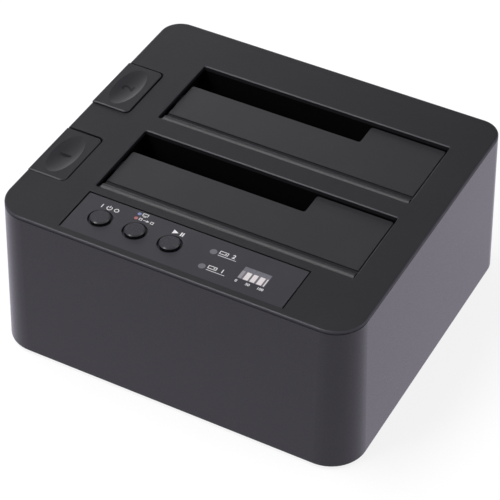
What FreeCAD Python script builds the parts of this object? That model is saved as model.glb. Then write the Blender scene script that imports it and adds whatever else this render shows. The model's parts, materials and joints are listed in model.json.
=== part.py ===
import FreeCAD, Part
import Sketcher
import math
import os

# Drive duplicator dock: two top-loading bays for 3.5 inch and 2.5 inch drives, an eject key
# for each bay, a control panel with three keys, and the boards and springs it needs inside.
# Frame: millimetres, +X to the right along the front, +Y to the rear, +Z up. The origin lies
# under the middle of the body, on the surface that the rubber feet stand on.
# Bay 1 is the front bay and bay 2 the rear one.

# ---------------------------------------------------------------------------------------
# Driving dimensions: alias, value, meaning
# ---------------------------------------------------------------------------------------
SIZES = [
    ("body_width", 143.5, "left to right at the top edge"),
    ("body_depth", 130.0, "front to rear at the top edge"),
    ("overall_height", 66.0, "from the table to the top face"),
    ("foot_standoff", 1.5, "gap between the table and the walls"),
    ("wall_draft", 2.0, "how far each wall leans out at its foot"),
    ("corner_radius", 12.0, "vertical corners at the top edge"),
    ("wall", 2.4, "side wall thickness"),
    ("cover_thick", 2.0, "top cover plate"),
    ("cover_edge", 0.7, "rounding along the top cover's edge"),
    ("lid_edge", 1.1, "top cover where it rests on the walls"),
    ("seam_gap", 0.3, "height of the shadow gap under the top cover"),
    ("seam_depth", 0.9, "depth of the shadow gap"),
    ("rim_depth", 3.0, "locating rim under the top cover"),
    ("rim_thick", 1.4, "locating rim thickness"),
    ("fit_gap", 0.15, "clearance between moulded parts that nest"),
    ("press_gap", 0.02, "radial gap of a screw in its pilot hole, or of a light pipe in the panel"),
    ("slot_inset", 26.3, "left edge of the body to the drive slots"),
    ("slot_setback", 28.1, "front edge of the body to the front slot"),
    ("slot_right_inset", 13.2, "right edge of the body to the drive slots"),
    ("slot_rear_inset", 21.1, "rear edge of the body to the rear slot"),
    ("slot_between", 9.0, "front slot to rear slot"),
    ("slot_corner", 0.8, "drive slot corner radius"),
    ("slot_chamfer", 0.35, "chamfer on the cover's openings"),
    ("well_side", 1.8, "well wall outside the slot's ends"),
    ("well_gap", 0.3, "well wall outside the slot's sides"),
    ("bay_wall", 1.8, "drive well wall thickness"),
    ("bay_floor_top", 15.5, "height of the drive well floor"),
    ("bay_floor_thick", 2.0, "drive well floor thickness"),
    ("frame_corner", 1.5, "outer corners of a bay frame"),
    ("weld", 0.5, "depth by which a shelf, lug or rib runs into its wall"),
    ("pin_radius", 1.0, "flap hinge pin"),
    ("pin_gap", 0.01, "radial gap of a pin in its fixed seat"),
    ("running_gap", 0.05, "radial clearance of a turning or sliding fit"),
    ("bead_radius", 2.3, "hinge bead along the flap's front edge"),
    ("flap_front_gap", 0.5, "slot's front edge to the hinge bead"),
    ("flap_left_gap", 1.3, "slot's left end to the flap"),
    ("flap_right_gap", 0.8, "slot's right end to the flap"),
    ("flap_rear_gap", 2.0, "flap tab to the slot's rear edge"),
    ("flap_drop", 1.0, "top of the hinge bead below the cover"),
    ("flap_step", 0.5, "flap plate below the top of its bead"),
    ("flap_thick", 2.0, "flap plate"),
    ("flap_groove", 1.2, "radius of the groove behind the bead"),
    ("groove_rise", 0.7, "middle of that radius above the flap plate"),
    ("groove_back", 1.8, "hinge pin to the middle of the groove"),
    ("flap_edge", 0.25, "chamfer along the top edges of the flap plate"),
    ("flap_corner", 1.0, "corner radius of the flap"),
    ("small_slot_length", 70.5, "opening for a 2.5 inch drive, along X"),
    ("small_slot_width", 13.0, "opening for a 2.5 inch drive, along Y"),
    ("ear_catch", 0.6, "stop ears past the slot's ends, under the cover"),
    ("ear_length", 6.0, "stop ears along Y"),
    ("ear_root", 2.0, "stop ears inside the flap's ends"),
    ("flap_ear_setback", 4.0, "flap's rear edges to its stop ears"),
    ("stop_gap", 0.1, "stop ears to the underside of the cover"),
    ("rib_half", 0.6, "half the thickness of a flap rib"),
    ("rib_drop", 1.5, "flap ribs below the plate"),
    ("rib_setback", 2.0, "door's rear edge to the ribs"),
    ("coil_wire", 0.25, "wire radius of the flap's torsion spring"),
    ("coil_radius", 1.3, "mean coil radius of the torsion spring"),
    ("coil_room", 0.12, "free space round the torsion spring"),
    ("coil_length", 6.0, "torsion spring along the pin"),
    ("coil_turns", 3.5, "turns of the torsion spring, which put its two legs on opposite sides"),
    ("leg_clearance", 0.05, "gap round each leg of the torsion spring"),
    ("coil_leg", 3.0, "axial legs of the torsion spring"),
    ("eject_setback", 24.0, "front edge of the body to the front eject key's opening"),
    ("eject_width", 28.3, "eject key opening, along Y"),
    ("eject_length", 15.8, "eject key opening, from the left edge"),
    ("eject_gap", 0.35, "gap round an eject key"),
    ("eject_corner", 2.0, "inner corners of an eject key"),
    ("eject_thick", 2.2, "top of an eject key"),
    ("eject_skirt", 4.0, "outer skirt of an eject key below the top face"),
    ("eject_inner_skirt", 12.0, "inner skirt of an eject key below the top face"),
    ("eject_travel", 4.0, "eject key travel"),
    ("eject_rise_front", 0.2, "front eject key above the top face"),
    ("eject_rise_rear", 1.2, "rear eject key above the top face"),
    ("dish_depth", 0.95, "finger dish in an eject key"),
    ("dish_length", 23.0, "finger dish along Y"),
    ("dish_width", 10.8, "finger dish along X"),
    ("key_rim", 0.35, "chamfer round the top of an eject key"),
    ("post_radius", 2.0, "push rod of an eject key"),
    ("post_inset", 9.5, "left edge of the body to the push rod"),
    ("shelf_drop", 20.0, "top face to the spring shelf that guides the push rod"),
    ("shelf_thick", 2.5, "spring shelf thickness"),
    ("shelf_reach", 5.5, "spring shelf past the push rod's axis"),
    ("shelf_half", 7.0, "half the spring shelf along Y"),
    ("spring_wire", 0.4, "wire radius of an eject spring"),
    ("spring_radius", 3.1, "mean coil radius of an eject spring"),
    ("spring_turns", 4.5, "turns of an eject spring"),
    ("lever_inset", 19.6, "left edge of the body to the lever pivot"),
    ("lever_height", 17.0, "lever pivot above the table"),
    ("lever_hub", 2.9, "lever hub radius"),
    ("lever_pin", 1.25, "lever pivot pin radius"),
    ("lever_pad", 1.5, "lever pad above the pivot"),
    ("lever_thick", 2.4, "lever arm thickness"),
    ("lever_width", 8.0, "width of the lever arm under the push rod"),
    ("paddle_reach", 13.5, "pivot to the tip of the lifting paddle"),
    ("paddle_setback", 1.35, "lever hub's front end to the lifting paddle"),
    ("paddle_rear_gap", 5.0, "slot's rear edge to the lifting paddle"),
    ("paddle_room", 0.5, "gap round the lever in the drive well's windows"),
    ("paddle_tip", 1.0, "rounding of the paddle's tip"),
    ("lever_rise", 4.0, "top of the lever's window above the pivot"),
    ("paddle_drop", 1.7, "top of the paddle below the pivot"),
    ("lug_thick", 2.5, "lugs that hold the lever pin"),
    ("lug_wall", 1.8, "lug past the lever pin"),
    ("lug_gap", 0.3, "lever hub's ends to the lugs"),
    ("panel_right_inset", 27.5, "right edge of the body to the control panel recess"),
    ("panel_setback", 3.0, "front edge of the body to the control panel"),
    ("panel_depth", 21.25, "control panel recess along Y"),
    ("panel_thick", 1.2, "control panel"),
    ("panel_gap", 0.35, "gap round the control panel"),
    ("panel_ledge", 1.5, "ledge that the control panel rests on"),
    ("key_first_share", 0.1237, "first key's place, as a share of the panel's length"),
    ("key_pitch_share", 0.1583, "key to key, as a share of the panel's length"),
    ("key_row", 13.2, "front edge of the body to the row of keys"),
    ("key_radius", 3.75, "key cap"),
    ("key_hole", 4.65, "key hole in the panel"),
    ("key_flange", 5.3, "flange that keeps a key in"),
    ("key_foot_radius", 2.0, "foot of a key on its plunger"),
    ("key_rise", 1.0, "key cap above the panel"),
    ("key_travel", 0.5, "key travel"),
    ("switch_size", 6.0, "key switch, square"),
    ("switch_height", 3.5, "key switch above its board"),
    ("plunger_radius", 1.6, "key switch plunger"),
    ("lamp_share", 0.2475, "place of the two status lamps, as a share of the panel's length"),
    ("lamp_blue_row", 22.0, "front edge of the body to the blue lamp"),
    ("lamp_red_row", 19.5, "front edge of the body to the red lamp"),
    ("lamp_radius", 0.7, "status lamp light pipe"),
    ("drive_lamp_share", 0.6132, "place of the two drive lamps, as a share of the panel's length"),
    ("drive_lamp_row_1", 8.6, "front edge of the body to the lamp of bay 1"),
    ("drive_lamp_row_2", 17.0, "front edge of the body to the lamp of bay 2"),
    ("drive_lamp_radius", 1.3, "drive lamp light pipe"),
    ("window_share", 0.8227, "middle of the progress window, as a share of the panel's length"),
    ("window_row", 9.3, "front edge of the body to the progress window"),
    ("window_length", 10.4, "progress window along X"),
    ("window_depth", 6.3, "progress window along Y"),
    ("control_board_drop", 7.1, "top face to the top of the control board"),
    ("control_board_side", 7.3, "control board past the panel, each side"),
    ("board_thick", 1.6, "circuit board thickness"),
    ("main_board_top", 11.0, "top of the main board"),
    ("main_board_side", 18.0, "left edge of the body to the main board"),
    ("main_board_right", 16.5, "right edge of the body to the main board"),
    ("main_board_end", 8.0, "front edge of the body to the main board"),
    ("main_board_rear", 3.0, "rear edge of the body to the main board"),
    ("socket_length", 43.0, "drive socket along X"),
    ("socket_width", 6.4, "drive socket along Y"),
    ("socket_height", 9.5, "drive socket above the main board"),
    ("socket_gap", 0.5, "gap round a drive socket in the well's floor"),
    ("socket_datum", 31.3, "slot's left end to the middle of the socket"),
    ("socket_setback", 5.2, "slot's rear edge to the middle of the socket"),
    ("pillar_inset", 11.0, "body edges to the corner pillars"),
    ("pillar_radius", 4.0, "corner pillar"),
    ("pillar_foot", 6.5, "foot of the corner pillars"),
    ("case_screw", 1.5, "case screw shank radius"),
    ("case_screw_length", 16.0, "case screw shank"),
    ("case_head", 2.75, "case screw head radius"),
    ("case_head_height", 1.9, "case screw head"),
    ("head_recess", 2.2, "recess for a case screw head"),
    ("small_screw", 1.1, "board screw shank radius"),
    ("small_head", 2.0, "board screw head radius"),
    ("small_head_height", 1.4, "board screw head"),
    ("screw_gap", 0.1, "clearance of a screw in a passing hole"),
    ("screw_engage", 3.0, "board screw past the part that it holds"),
    ("blind_room", 0.8, "blind screw hole past the screw's end"),
    ("boss_radius", 2.8, "bosses under the top cover for the bay frames"),
    ("boss_height", 3.0, "bosses under the top cover for the bay frames"),
    ("post_boss_radius", 2.4, "posts that carry the control board"),
    ("post_inset_x", 3.0, "control board's end to its screw"),
    ("stand_off_radius", 3.0, "stand-offs under the main board"),
    ("board_hole_inset", 5.0, "main board's edges to its screws"),
    ("ear_half", 3.4, "half the width of a bay frame's screw ear"),
    ("ear_thick", 3.0, "screw ear of a bay frame"),
    ("ear_beside", 3.0, "bay frame's end to its ear screw"),
    ("ear_setback", 2.0, "slot's rear edge to the ear screw"),
    ("base_thick", 2.5, "bottom cover"),
    ("lip", 1.2, "wall lip round the bottom cover"),
    ("foot_radius", 6.0, "rubber foot"),
    ("foot_recess", 0.5, "recess that a rubber foot is glued in"),
    ("vent_length", 26.0, "vent slot"),
    ("vent_width", 2.4, "vent slot"),
    ("vent_pitch", 5.0, "vent slot to vent slot"),
    ("vent_column", 22.0, "middle of the body to the middle of each column of vents"),
    ("vent_first", 20.0, "middle of the body to the foremost vent"),
    ("usb_column", 40.0, "right edge of the body to the USB port's middle"),
    ("usb_width", 12.2, "USB port"),
    ("usb_height", 12.8, "USB port"),
    ("usb_depth", 17.5, "USB port"),
    ("port_proud", 0.6, "ports past the rear wall's top edge"),
    ("power_column", 62.0, "right edge of the body to the power inlet's middle"),
    ("power_width", 9.0, "power inlet"),
    ("power_height", 11.0, "power inlet"),
    ("power_depth", 14.0, "power inlet"),
    ("power_bore", 3.2, "power inlet bore radius"),
    ("port_gap", 0.4, "gap round a port in the rear wall"),
    ("ribbon_width", 12.7, "ribbon cable"),
    ("ribbon_thick", 0.9, "ribbon cable"),
    ("ribbon_share", 0.4236, "place of the ribbon cable, as a share of the panel's length"),
]

# ---------------------------------------------------------------------------------------
# Positions that follow from the driving dimensions, as expressions
# ---------------------------------------------------------------------------------------
LEFT = "(-dims.body_width / 2)"
RIGHT = "(dims.body_width / 2)"
FRONT = "(-dims.body_depth / 2)"
REAR = "(dims.body_depth / 2)"
TOP = "dims.overall_height"
COVER_UNDER = "(dims.overall_height - dims.cover_thick)"
WALL_FOOT = "dims.foot_standoff"
LID_UNDER = "(dims.overall_height - dims.lid_edge)"
WALL_TOP = f"({LID_UNDER} - dims.seam_gap)"
BASE_TOP = "(dims.foot_standoff + dims.base_thick)"
FLOOR_UNDER = "(dims.bay_floor_top - dims.bay_floor_thick)"

EAR_TOP = f"({COVER_UNDER} - dims.boss_height)"
EAR_UNDER = f"({EAR_TOP} - dims.ear_thick)"
SCREW_SEAT = "(dims.foot_standoff + dims.foot_recess + dims.head_recess)"

SLOT_LEFT = f"({LEFT} + dims.slot_inset)"
SLOT_RIGHT = f"({RIGHT} - dims.slot_right_inset)"
SLOT_WIDTH = "((dims.body_depth - dims.slot_setback - dims.slot_rear_inset - dims.slot_between) / 2)"
BAY_PITCH = f"({SLOT_WIDTH} + dims.slot_between)"
WELL_LEFT = f"({SLOT_LEFT} - dims.well_side)"
WELL_RIGHT = f"({SLOT_RIGHT} + dims.well_side)"
FRAME_LEFT = f"({WELL_LEFT} - dims.bay_wall)"
FRAME_RIGHT = f"({WELL_RIGHT} + dims.bay_wall)"

PIVOT_Z = f"({TOP} - dims.flap_drop - dims.bead_radius)"
MOVING_LEG_Z = f"({PIVOT_Z} + dims.coil_radius)"
FIXED_LEG_Z = f"({PIVOT_Z} - dims.coil_radius)"
PLATE_TOP = f"({TOP} - dims.flap_drop - dims.flap_step)"
PLATE_UNDER = f"({PLATE_TOP} - dims.flap_thick)"
FLAP_LEFT = f"({SLOT_LEFT} + dims.flap_left_gap)"
FLAP_RIGHT = f"({SLOT_RIGHT} - dims.flap_right_gap)"

POST_X = f"({LEFT} + dims.post_inset)"
LEVER_X = f"({LEFT} + dims.lever_inset)"
SHELF_TOP = f"({TOP} - dims.shelf_drop)"
SHELF_UNDER = f"({SHELF_TOP} - dims.shelf_thick)"

PANEL_LEFT = SLOT_LEFT
PANEL_RIGHT = f"({RIGHT} - dims.panel_right_inset)"
PANEL_LENGTH = f"({PANEL_RIGHT} - {PANEL_LEFT})"
PANEL_FRONT = f"({FRONT} + dims.panel_setback)"
PANEL_REAR = f"({PANEL_FRONT} + dims.panel_depth)"
PANEL_UNDER = f"({TOP} - dims.panel_thick)"
KEY_Y = f"({FRONT} + dims.key_row)"
BOARD_TOP = f"({TOP} - dims.control_board_drop)"
BOARD_UNDER = f"({BOARD_TOP} - dims.board_thick)"
SWITCH_TOP = f"({BOARD_TOP} + dims.switch_height)"
MAIN_TOP = "dims.main_board_top"
MAIN_UNDER = "(dims.main_board_top - dims.board_thick)"

PLUNGER_RISE = 1.0        # plunger above its switch, mm
PLUNGER_ROOM = 0.4        # free space under a plunger at rest, beyond its travel, mm
COIL_STEPS = 12           # straight runs in one turn of a spring
VENT_ROWS = 9             # vents in each column
RIB_SHARES = (0.14, 0.38, 0.62, 0.86)    # places of the ribs along a flap
KEY_NAMES = ("power", "mode", "start")
BAYS = (1, 2)


def slot_front(bay):
    return f"({FRONT} + dims.slot_setback + {bay - 1} * {BAY_PITCH})"


def slot_rear(bay):
    return f"({slot_front(bay)} + {SLOT_WIDTH})"


def pivot_y(bay):
    return f"({slot_front(bay)} + dims.flap_front_gap + dims.bead_radius)"


def eject_front(bay):
    return f"({FRONT} + dims.eject_setback + {bay - 1} * {BAY_PITCH})"


def eject_middle(bay):
    return f"({eject_front(bay)} + dims.eject_width / 2)"


def eject_top(bay):
    rise = "dims.eject_rise_front" if bay == 1 else "dims.eject_rise_rear"
    return f"({TOP} + {rise})"


def paddle_front(bay):
    return f"({eject_middle(bay)} - dims.lever_width / 2 + dims.paddle_setback)"


def paddle_rear(bay):
    return f"({slot_rear(bay)} - dims.paddle_rear_gap)"


def along_panel(share):
    """The place along X at a share of the control panel's length."""
    return f"({PANEL_LEFT} + {share} * {PANEL_LENGTH})"


def key_x(number):
    return along_panel(f"(dims.key_first_share + {number} * dims.key_pitch_share)")


def corner_points(inset):
    """The four points that lie an inset inside the body's top outline."""
    return [(f"({side} * (dims.body_width / 2 - {inset}))", f"({end} * (dims.body_depth / 2 - {inset}))")
            for side in (-1, 1) for end in (-1, 1)]


# ---------------------------------------------------------------------------------------
# Document, sheet and sketch helpers
# ---------------------------------------------------------------------------------------
DOC = FreeCAD.newDocument("drive_duplicator")


def make_sheet():
    sheet = DOC.addObject("Spreadsheet::Sheet", "dims")
    for row, (alias, size, meaning) in enumerate(SIZES, start=1):
        sheet.set(f"A{row}", meaning)
        sheet.set(f"B{row}", str(size))
        sheet.setAlias(f"B{row}", alias)
    DOC.recompute()
    return sheet


SHEET = make_sheet()


def number(expression):
    """The present value of an expression in the sheet's sizes."""
    return float(SHEET.evalExpression(str(expression)))


def vector(x, y, z=0.0):
    return FreeCAD.Vector(x, y, z)


def new_body(name):
    return DOC.addObject("PartDesign::Body", name)


# For each direction of growth: the origin plane, and the sign of that plane's normal.
PLANES = {"X": ("YZ_Plane", 1), "Y": ("XZ_Plane", -1), "Z": ("XY_Plane", 1)}


def new_sketch(body, name, axis, station):
    """A sketch square to an axis, at a station along it."""
    role, sign = PLANES[axis]
    sketch = body.newObject("Sketcher::SketchObject", name)
    plane = [feature for feature in body.Origin.OriginFeatures if feature.Role == role][0]
    sketch.AttachmentSupport = [(plane, "")]
    sketch.MapMode = "FlatFace"
    sketch.setExpression("AttachmentOffset.Base.z", f"{sign} * ({station})")
    return sketch


def bind(sketch, constraint, expression):
    index = sketch.addConstraint(constraint)
    sketch.setExpression(f"Constraints[{index}]", expression)


def place_point(sketch, geometry, end, x, y):
    bind(sketch, Sketcher.Constraint("DistanceX", geometry, end, number(x)), x)
    bind(sketch, Sketcher.Constraint("DistanceY", geometry, end, number(y)), y)


def polygon(*points):
    """A closed outline through points given as pairs of expressions."""
    def draw(sketch):
        spots = [vector(number(x), number(y)) for x, y in points]
        count = len(spots)
        sides = [Part.LineSegment(spots[i], spots[(i + 1) % count]) for i in range(count)]
        first = sketch.addGeometry(sides, False)[0]
        joins = [Sketcher.Constraint("Coincident", first + i, 2, first + (i + 1) % count, 1)
                 for i in range(count)]
        sketch.addConstraint(joins)
        for i, (x, y) in enumerate(points):
            place_point(sketch, first + i, 1, x, y)
    return draw


def rectangle(left, right, low, high):
    return polygon((left, low), (right, low), (right, high), (left, high))


def rounded_rectangle(left, right, low, high, radius):
    def draw(sketch):
        x0, x1, y0, y1, r = (number(e) for e in (left, right, low, high, radius))
        lines = [((x0 + r, y0), (x1 - r, y0)), ((x1, y0 + r), (x1, y1 - r)),
                 ((x1 - r, y1), (x0 + r, y1)), ((x0, y1 - r), (x0, y0 + r))]
        centres = [(x1 - r, y0 + r), (x1 - r, y1 - r), (x0 + r, y1 - r), (x0 + r, y0 + r)]
        shapes = [Part.LineSegment(vector(*start), vector(*end)) for start, end in lines]
        for quarter, centre in enumerate(centres):
            circle_of_corner = Part.Circle(vector(*centre), vector(0, 0, 1), r)
            start = math.radians(90 * quarter - 90)
            shapes.append(Part.ArcOfCircle(circle_of_corner, start, start + math.pi / 2))
        first = sketch.addGeometry(shapes, False)[0]
        arc = first + 4
        rules = []
        for side in range(4):
            rules.append(Sketcher.Constraint("Tangent", first + side, 2, arc + side, 1))
            rules.append(Sketcher.Constraint("Tangent", arc + side, 2, first + (side + 1) % 4, 1))
        rules += [Sketcher.Constraint("Horizontal", first + side) for side in (0, 2)]
        rules += [Sketcher.Constraint("Vertical", first + side) for side in (1, 3)]
        rules += [Sketcher.Constraint("Equal", arc, arc + other) for other in (1, 2, 3)]
        sketch.addConstraint(rules)
        bind(sketch, Sketcher.Constraint("Radius", arc, r), radius)
        bind(sketch, Sketcher.Constraint("DistanceY", first, 1, y0), low)
        bind(sketch, Sketcher.Constraint("DistanceX", first + 1, 1, x1), right)
        bind(sketch, Sketcher.Constraint("DistanceY", first + 2, 1, y1), high)
        bind(sketch, Sketcher.Constraint("DistanceX", first + 3, 1, x0), left)
    return draw


def circle(x, y, radius):
    def draw(sketch):
        outline = Part.Circle(vector(number(x), number(y)), vector(0, 0, 1), number(radius))
        index = sketch.addGeometry(outline, False)
        bind(sketch, Sketcher.Constraint("Radius", index, number(radius)), radius)
        place_point(sketch, index, 3, x, y)
    return draw


def octagon(x, y, radius):
    """Eight-sided outline inside a circle, for small hidden round forms that repeat."""
    corners = [math.radians(45 * k + 22.5) for k in range(8)]
    return polygon(*[(f"({x} + {math.cos(a):.5f} * {radius})", f"({y} + {math.sin(a):.5f} * {radius})")
                     for a in corners])


def body_outline(inset, grow="0"):
    """The body's rounded outline in plan, grown by its draft and inset by a wall."""
    across = f"(dims.body_width / 2 + {grow} - ({inset}))"
    along = f"(dims.body_depth / 2 + {grow} - ({inset}))"
    radius = f"(dims.corner_radius - ({inset}))"
    return rounded_rectangle(f"(-{across})", across, f"(-{along})", along, radius)


def measured(body, feature, grows):
    """Recompute, and stop if a feature did nothing or went the wrong way."""
    before = feature.BaseFeature.Shape.Volume if feature.BaseFeature else 0.0
    DOC.recompute()
    change = feature.Shape.Volume - before
    if (change <= 0.0) if grows else (change >= 0.0):
        raise RuntimeError(f"{body.Label}: {feature.Name} changes the volume by {change:.3f}")
    return feature


def pad(body, name, axis, low, high, *outlines):
    """Material between two stations along an axis. XZ sketches grow towards -Y."""
    station = high if axis == "Y" else low
    sketch = new_sketch(body, f"{name}_sketch", axis, station)
    for draw in outlines:
        draw(sketch)
    feature = body.newObject("PartDesign::Pad", name)
    feature.Profile = sketch
    feature.setExpression("Length", f"{high} - {low}")
    return measured(body, feature, grows=True)


def cut(body, name, axis, low, high, *outlines):
    """A pocket between two stations along an axis."""
    station = low if axis == "Y" else high
    sketch = new_sketch(body, f"{name}_sketch", axis, station)
    for draw in outlines:
        draw(sketch)
    feature = body.newObject("PartDesign::Pocket", name)
    feature.Profile = sketch
    feature.setExpression("Length", f"{high} - {low}")
    return measured(body, feature, grows=False)


def lean(body, name, wanted, top, foot, reverse=False):
    """Draft: the wanted faces lean out by the wall draft between the top level and the foot."""
    base = body.Tip
    level = number(top)
    faces = list(enumerate(base.Shape.Faces, start=1))
    feature = body.newObject("PartDesign::Draft", name)
    feature.Base = (base, [f"Face{i}" for i, face in faces if wanted(face)])
    feature.NeutralPlane = (base, [f"Face{i}" for i, face in faces if is_level(face, level)])
    feature.Reversed = reverse
    feature.setExpression("Angle", f"atan(dims.wall_draft / ({top} - {foot}))")
    DOC.recompute()
    return feature


def is_level(item, level):
    """True for a face or an edge that lies flat at a level."""
    frame = item.BoundBox
    return abs(frame.ZMin - level) < 1e-4 and abs(frame.ZMax - level) < 1e-4


def pick_edges(shape, wanted):
    return [f"Edge{i}" for i, edge in enumerate(shape.Edges, start=1) if wanted(edge)]


def dress(body, name, kind, size, wanted):
    """A fillet or a chamfer on the edges that a test picks."""
    base = body.Tip
    feature = body.newObject(f"PartDesign::{kind}", name)
    feature.Base = (base, pick_edges(base.Shape, wanted))
    feature.setExpression("Radius" if kind == "Fillet" else "Size", size)
    DOC.recompute()
    if "Invalid" in feature.State:
        raise RuntimeError(f"{body.Label}: {name} failed on {feature.Base[1]}")
    return feature


def at_height(height, left=None, right=None, front=None, rear=None):
    """A test for level edges at a height, whose middle lies in a box in plan."""
    level = number(height)
    limits = [number(e) if e is not None else None for e in (left, right, front, rear)]

    def wanted(edge):
        box = edge.BoundBox
        middle = box.Center
        inside = ((limits[0] is None or middle.x > limits[0]) and (limits[1] is None or middle.x < limits[1])
                  and (limits[2] is None or middle.y > limits[2])
                  and (limits[3] is None or middle.y < limits[3]))
        return inside and is_level(edge, level)
    return wanted


def upright_at(x_low, x_high):
    """A test for upright straight edges whose X lies between two values."""
    low = number(x_low)
    high = number(x_high)

    def wanted(edge):
        box = edge.BoundBox
        upright = box.XLength < 1e-4 and box.YLength < 1e-4
        return upright and low < box.Center.x < high
    return wanted


def box(name, x0, x1, y0, y1, z0, z1):
    solid = DOC.addObject("Part::Box", name)
    for side, (low, high) in {"Length": (x0, x1), "Width": (y0, y1), "Height": (z0, z1)}.items():
        solid.setExpression(side, f"{high} - {low}")
    for letter, low in zip("xyz", (x0, y0, z0)):
        solid.setExpression(f"Placement.Base.{letter}", str(low))
    return solid


# Turn that takes a cylinder from +Z to each axis.
TURNS = {"Z": FreeCAD.Rotation(), "X": FreeCAD.Rotation(vector(0, 1, 0), 90),
         "Y": FreeCAD.Rotation(vector(1, 0, 0), -90)}


def cylinder(name, axis, x, y, z, radius, length):
    """A cylinder that starts at a point and runs along an axis."""
    solid = DOC.addObject("Part::Cylinder", name)
    solid.Placement = FreeCAD.Placement(vector(0, 0, 0), TURNS[axis])
    solid.setExpression("Radius", str(radius))
    solid.setExpression("Height", str(length))
    for letter, low in zip("xyz", (x, y, z)):
        solid.setExpression(f"Placement.Base.{letter}", str(low))
    return solid


def prism(name, sides, x, y, z, radius, length):
    """An upright prism whose corners lie on a circle, with a corner half a side past +X."""
    solid = DOC.addObject("Part::Prism", name)
    solid.Polygon = sides
    solid.Placement = FreeCAD.Placement(vector(0, 0, 0), FreeCAD.Rotation(vector(0, 0, 1), 180 / sides))
    solid.setExpression("Circumradius", str(radius))
    solid.setExpression("Height", str(length))
    for letter, low in zip("xyz", (x, y, z)):
        solid.setExpression(f"Placement.Base.{letter}", str(low))
    return solid


def join(name, kind, pieces):
    """A fuse or a group of separate solids; kind is Part::MultiFuse or Part::Compound."""
    result = DOC.addObject(kind, name)
    if kind == "Part::MultiFuse":
        result.Shapes = pieces
    else:
        result.Links = pieces
    return result


def carve(name, base, tool):
    result = DOC.addObject("Part::Cut", name)
    result.Base = base
    result.Tool = tool
    return result


# ---------------------------------------------------------------------------------------
# Casing
# ---------------------------------------------------------------------------------------
def make_body_shell():
    """Wall ring that leans out towards its foot, with the key openings and the port windows."""
    body = new_body("body_shell")
    pad(body, "ring", "Z", WALL_FOOT, WALL_TOP, body_outline("0"), body_outline("dims.wall"))
    lean(body, "outside_draft", outer_wall, WALL_TOP, WALL_FOOT)
    lean(body, "inside_draft", inner_wall, WALL_TOP, WALL_FOOT, reverse=True)
    pad(body, "seam_ring", "Z", WALL_TOP, LID_UNDER,
        body_outline("dims.seam_depth"), body_outline("dims.wall"))
    cut(body, "base_seat", "Z", WALL_FOOT, BASE_TOP, body_outline("dims.lip", "dims.wall_draft"))
    notch_foot = f"({TOP} - dims.eject_skirt - dims.eject_travel - dims.eject_gap)"
    openings = [rectangle(eject_front(bay), f"({eject_front(bay)} + dims.eject_width)", notch_foot, TOP)
                for bay in BAYS]
    cut(body, "key_openings", "X", f"({LEFT} - 2 * dims.wall_draft)", f"({LEFT} + 2 * dims.wall)",
        *openings)
    windows = [port_window("usb"), port_window("power")]
    cut(body, "port_windows", "Y", f"({REAR} - 2 * dims.wall)", f"({REAR} + 2 * dims.wall_draft)",
        *windows)
    return body


def is_outer(item):
    """True for a face or an edge that reaches past the middle of the seam ledge."""
    frame = item.BoundBox
    half = number("dims.body_width / 2 - dims.seam_depth / 2")
    deep = number("dims.body_depth / 2 - dims.seam_depth / 2")
    return (max(abs(frame.XMin), abs(frame.XMax)) > half
            or max(abs(frame.YMin), abs(frame.YMax)) > deep)


def outer_wall(face):
    return face.BoundBox.ZLength > 1 and is_outer(face)


def inner_wall(face):
    return face.BoundBox.ZLength > 1 and not is_outer(face)


def port_window(port):
    middle = f"({RIGHT} - dims.{port}_column)"
    return rectangle(f"({middle} - dims.{port}_width / 2 - dims.port_gap)",
                     f"({middle} + dims.{port}_width / 2 + dims.port_gap)",
                     f"({MAIN_TOP} - dims.port_gap)",
                     f"({MAIN_TOP} + dims.{port}_height + dims.port_gap)")


def ear_points(bay):
    """Screw points between the top cover and a bay frame, beside the ends of its well."""
    middle = f"({slot_rear(bay)} - dims.ear_setback)"
    return [(f"({FRAME_LEFT} - dims.ear_beside)", middle), (f"({FRAME_RIGHT} + dims.ear_beside)", middle)]


def all_ear_points():
    return [point for bay in BAYS for point in ear_points(bay)]


def control_post_points():
    """Posts that carry the control board, at both ends of the panel."""
    left = f"({PANEL_LEFT} - dims.control_board_side + dims.post_inset_x)"
    right = f"({PANEL_RIGHT} + dims.control_board_side - dims.post_inset_x)"
    return [(left, KEY_Y), (right, KEY_Y)]


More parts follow.
